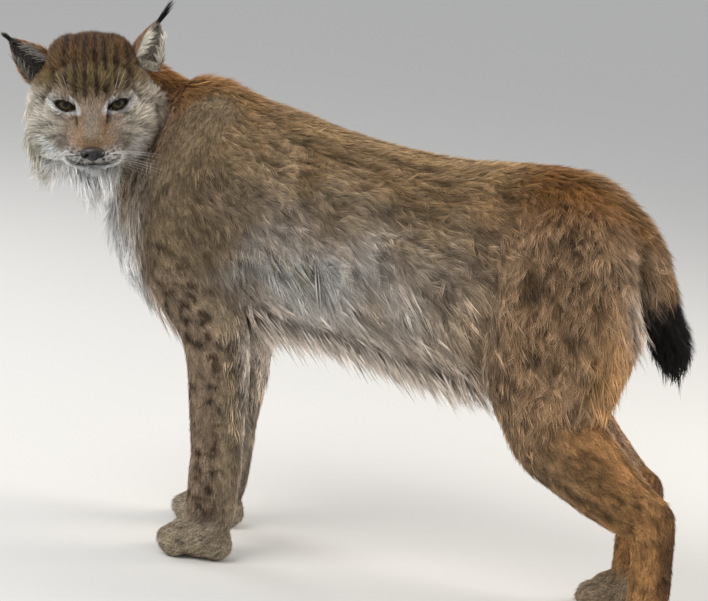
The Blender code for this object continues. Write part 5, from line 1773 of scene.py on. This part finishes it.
class LYNX_OT_eyes(bpy.types.Operator):
    """Sets both eyes behind their lids, looking at the viewer"""
    bl_idname = "lynx.eyes"
    bl_label = "Eyes"

    def execute(self, context):
        settings = context.scene.lynx_eyes
        glass = eye_material()
        aim = camera_place().translation
        for side, sign in SIDES.items():
            centre = HEAD @ Vector((EYE.x * sign, EYE.y, EYE.z))
            gaze = (aim - centre).normalized()
            made = ball(f"{side} eye", Matrix.Identity(4), centre, (EYE_RADIUS,) * 3, 128)
            points, _ = mesh_points(made.data)
            off = unit(points - np.array(centre))
            radius = np.arccos(np.clip(off @ np.array(gaze), -1, 1)) * EYE_RADIUS
            first = np.array(gaze.cross(UP).normalized())
            second = np.cross(np.array(gaze), first)
            angle = np.arctan2(off @ second, off @ first)
            fibres = np.sin(angle * 37) * 0.10 + np.sin(angle * 61 + 1.3) * 0.08
            colour = np.array(settings.iris) * (1 + fibres)[:, None]
            # Warmer round the pupil, dark at the edge of the iris, then the dark rim and the pupil.
            reach, pupil = settings.iris_radius, settings.pupil
            colour = mix(colour, colour * (1.5, 1.3, 0.9), smooth(reach * 0.75, reach * 0.40, radius))
            colour = mix(colour, colour * 0.25, smooth(reach * 0.80, reach * 0.98, radius))
            colour = mix(colour, np.array(linear("#3A2A20")), smooth(reach * 0.97, reach * 1.02, radius))
            colour = mix(colour, np.full(3, 0.002), smooth(pupil * 1.06, pupil * 0.94, radius))
            store_colour(made.data, colour)
            made.data.materials.append(glass)
            finish_piece(made)
            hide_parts(f"eye_{side}")
        return {"FINISHED"}


class LYNX_OT_nose(bpy.types.Operator):
    """Sets the bare leather of the nose with its nostrils"""
    bl_idname = "lynx.nose"
    bl_label = "Nose"

    def execute(self, context):
        forms = [ball("nose", HEAD, NOSE + Vector(centre), radii) for centre, radii in NOSE_FORMS]
        for sign in SIDES.values():
            (out, *rest), radii = NOSE_WING
            forms.append(ball("wing", HEAD, NOSE + Vector((sign * out, *rest)), radii))
        nose = fuse("nose", forms, NOSE_VOXEL, 4)
        for sign in SIDES.values():
            for ((out, *rest), radii), slant in ((NOSTRIL, NOSTRIL_SLANT), (NOSTRIL_SLIT, 0)):
                place = HEAD @ Matrix.Translation(NOSE + Vector((sign * out, *rest)))
                hole = place @ Matrix.Rotation(sign * slant, 4, "Y")
                boolean(nose, ball("nostril", hole, (0, 0, 0), radii), "DIFFERENCE")
        line_rows = [(x, NOSE.y + y, NOSE.z + z, *size) for x, y, z, *size in NOSE_LINE]
        line = tube("line", line_rows, Vector((1, 0, 0)), sides=8, steps=3)
        line.data.transform(HEAD)
        boolean(nose, line, "DIFFERENCE")
        own = own_axes(HEAD, mesh_points(nose.data)[0])
        top = smooth(0.0015, 0.0070, own[:, 2] - NOSE.z)
        store_colour(nose.data, mix(np.array(linear("#1F1C1B")), np.array(linear("#3F332E")), top))
        nose.data.materials.clear()
        nose.data.materials.append(leather_material())
        nose.name = "nose leather"
        finish_piece(nose)
        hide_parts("nose")
        return {"FINISHED"}


class LYNX_OT_settle(bpy.types.Operator):
    """Lets the skin ride on the body in place of the flesh of the solids"""
    bl_idname = "lynx.settle"
    bl_label = "Settle skin"

    def execute(self, context):
        skin = bpy.data.objects["skin"]
        finish_piece(skin)
        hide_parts(*FLESH)
        return {"FINISHED"}


def camera_place():
    """The camera's matrix in the frame of the design: round the target, looking at it, rolled."""
    back = Vector((
        math.sin(CAMERA_AZIMUTH) * math.cos(CAMERA_ELEVATION),
        -math.cos(CAMERA_AZIMUTH) * math.cos(CAMERA_ELEVATION),
        math.sin(CAMERA_ELEVATION),
    ))
    level_right = Vector((math.cos(CAMERA_AZIMUTH), math.sin(CAMERA_AZIMUTH), 0))
    level_up = back.cross(level_right)
    right = level_right * math.cos(CAMERA_ROLL) + level_up * math.sin(CAMERA_ROLL)
    up = back.cross(right)
    turn = Matrix((right, up, back)).transposed().to_4x4()
    return Matrix.Translation(CAMERA_TARGET + back * CAMERA_DISTANCE) @ turn


# Lamps: name, place, size, share of the key light's power, colour.
LAMPS = (
    ("key light", (-1.6, -2.6, 3.2), 2.2, 1.0, (1.0, 0.98, 0.95)),
    ("rim light", (2.4, 1.4, 2.0), 1.6, 0.55, (1.0, 0.93, 0.84)),
    ("side light", (-3.0, 0.8, 1.6), 1.8, 0.25, (0.93, 0.96, 1.0)),
)
LAMPS_AIM = (0.0, 0.0, 0.35)
FLOOR_RADIUS = 40.0


def area_light(name, place, target, size, power, colour):
    light = bpy.data.lights.new(name, "AREA")
    light.size = size
    light.energy = power
    light.color = colour
    made = bpy.data.objects.new(name, light)
    made.location = place
    made.rotation_euler = (Vector(target) - Vector(place)).to_track_quat("-Z", "Y").to_euler()
    bpy.context.scene.collection.objects.link(made)


class LYNX_OT_stage(bpy.types.Operator):
    """Sets the pale floor, the soft studio light and the camera"""
    bl_idname = "lynx.stage"
    bl_label = "Stage"

    def execute(self, context):
        settings = context.scene.lynx_stage
        mesh = bpy.data.meshes.new("floor")
        bm = bmesh.new()
        bmesh.ops.create_circle(bm, cap_ends=True, radius=FLOOR_RADIUS, segments=96)
        bm.to_mesh(mesh)
        bm.free()
        floor = new_object("floor", mesh)
        material, _, shader = new_material("matt studio paper")
        set_inputs(shader, {
            "Base Color": (*settings.floor, 1.0), "Roughness": 0.9, "Specular IOR Level": 0.1,
        })
        mesh.materials.append(material)
        world = bpy.data.worlds.new("studio air")
        world.use_nodes = True
        air = world.node_tree.nodes["Background"]
        set_inputs(air, {"Color": (*linear("#E9ECF0"), 1.0), "Strength": settings.fill})
        context.scene.world = world
        for name, place, size, share, colour in LAMPS:
            area_light(name, place, LAMPS_AIM, size, settings.key * share, colour)
        camera = bpy.data.cameras.new("camera")
        camera.sensor_width = FRAME_WIDTH_MM
        camera.lens = CAMERA_LENS_MM
        camera.clip_end = 200
        made = bpy.data.objects.new("camera", camera)
        made.matrix_world = Matrix.Translation(OFFSET) @ camera_place()
        context.scene.collection.objects.link(made)
        context.scene.camera = made
        context.scene.view_settings.view_transform = "Standard"
        return {"FINISHED"}


class LYNX_PT_panel(bpy.types.Panel):
    """Lists the pieces of the lynx and their settings"""
    bl_label = "Lynx"
    bl_idname = "LYNX_PT_panel"
    bl_space_type = "VIEW_3D"
    bl_region_type = "UI"
    bl_category = "Lynx"

    def draw(self, context):
        for group in (context.scene.lynx_coat, context.scene.lynx_eyes, context.scene.lynx_stage):
            box = self.layout.box()
            for name in group.__annotations__:
                box.prop(group, name)
        for operator in PIECES:
            self.layout.operator(operator.bl_idname)


GROUPS = {"lynx_coat": LynxCoat, "lynx_eyes": LynxEyes, "lynx_stage": LynxStage}
PIECES = (
    LYNX_OT_skin, LYNX_OT_coat, LYNX_OT_locks, LYNX_OT_ear_hair, LYNX_OT_whiskers, LYNX_OT_eyes,
    LYNX_OT_nose, LYNX_OT_settle, LYNX_OT_stage,
)


def register():
    for made in (*GROUPS.values(), *PIECES, LYNX_PT_panel):
        bpy.utils.register_class(made)
    for name, group in GROUPS.items():
        setattr(bpy.types.Scene, name, PointerProperty(type=group))


def unregister():
    for name in GROUPS:
        delattr(bpy.types.Scene, name)
    for made in (LYNX_PT_panel, *reversed(PIECES), *reversed(GROUPS.values())):
        bpy.utils.unregister_class(made)


def main():
    register()
    for piece in PIECES:
        group, name = piece.bl_idname.split(".")
        getattr(getattr(bpy.ops, group), name)()


if __name__ == "__main__":
    main()
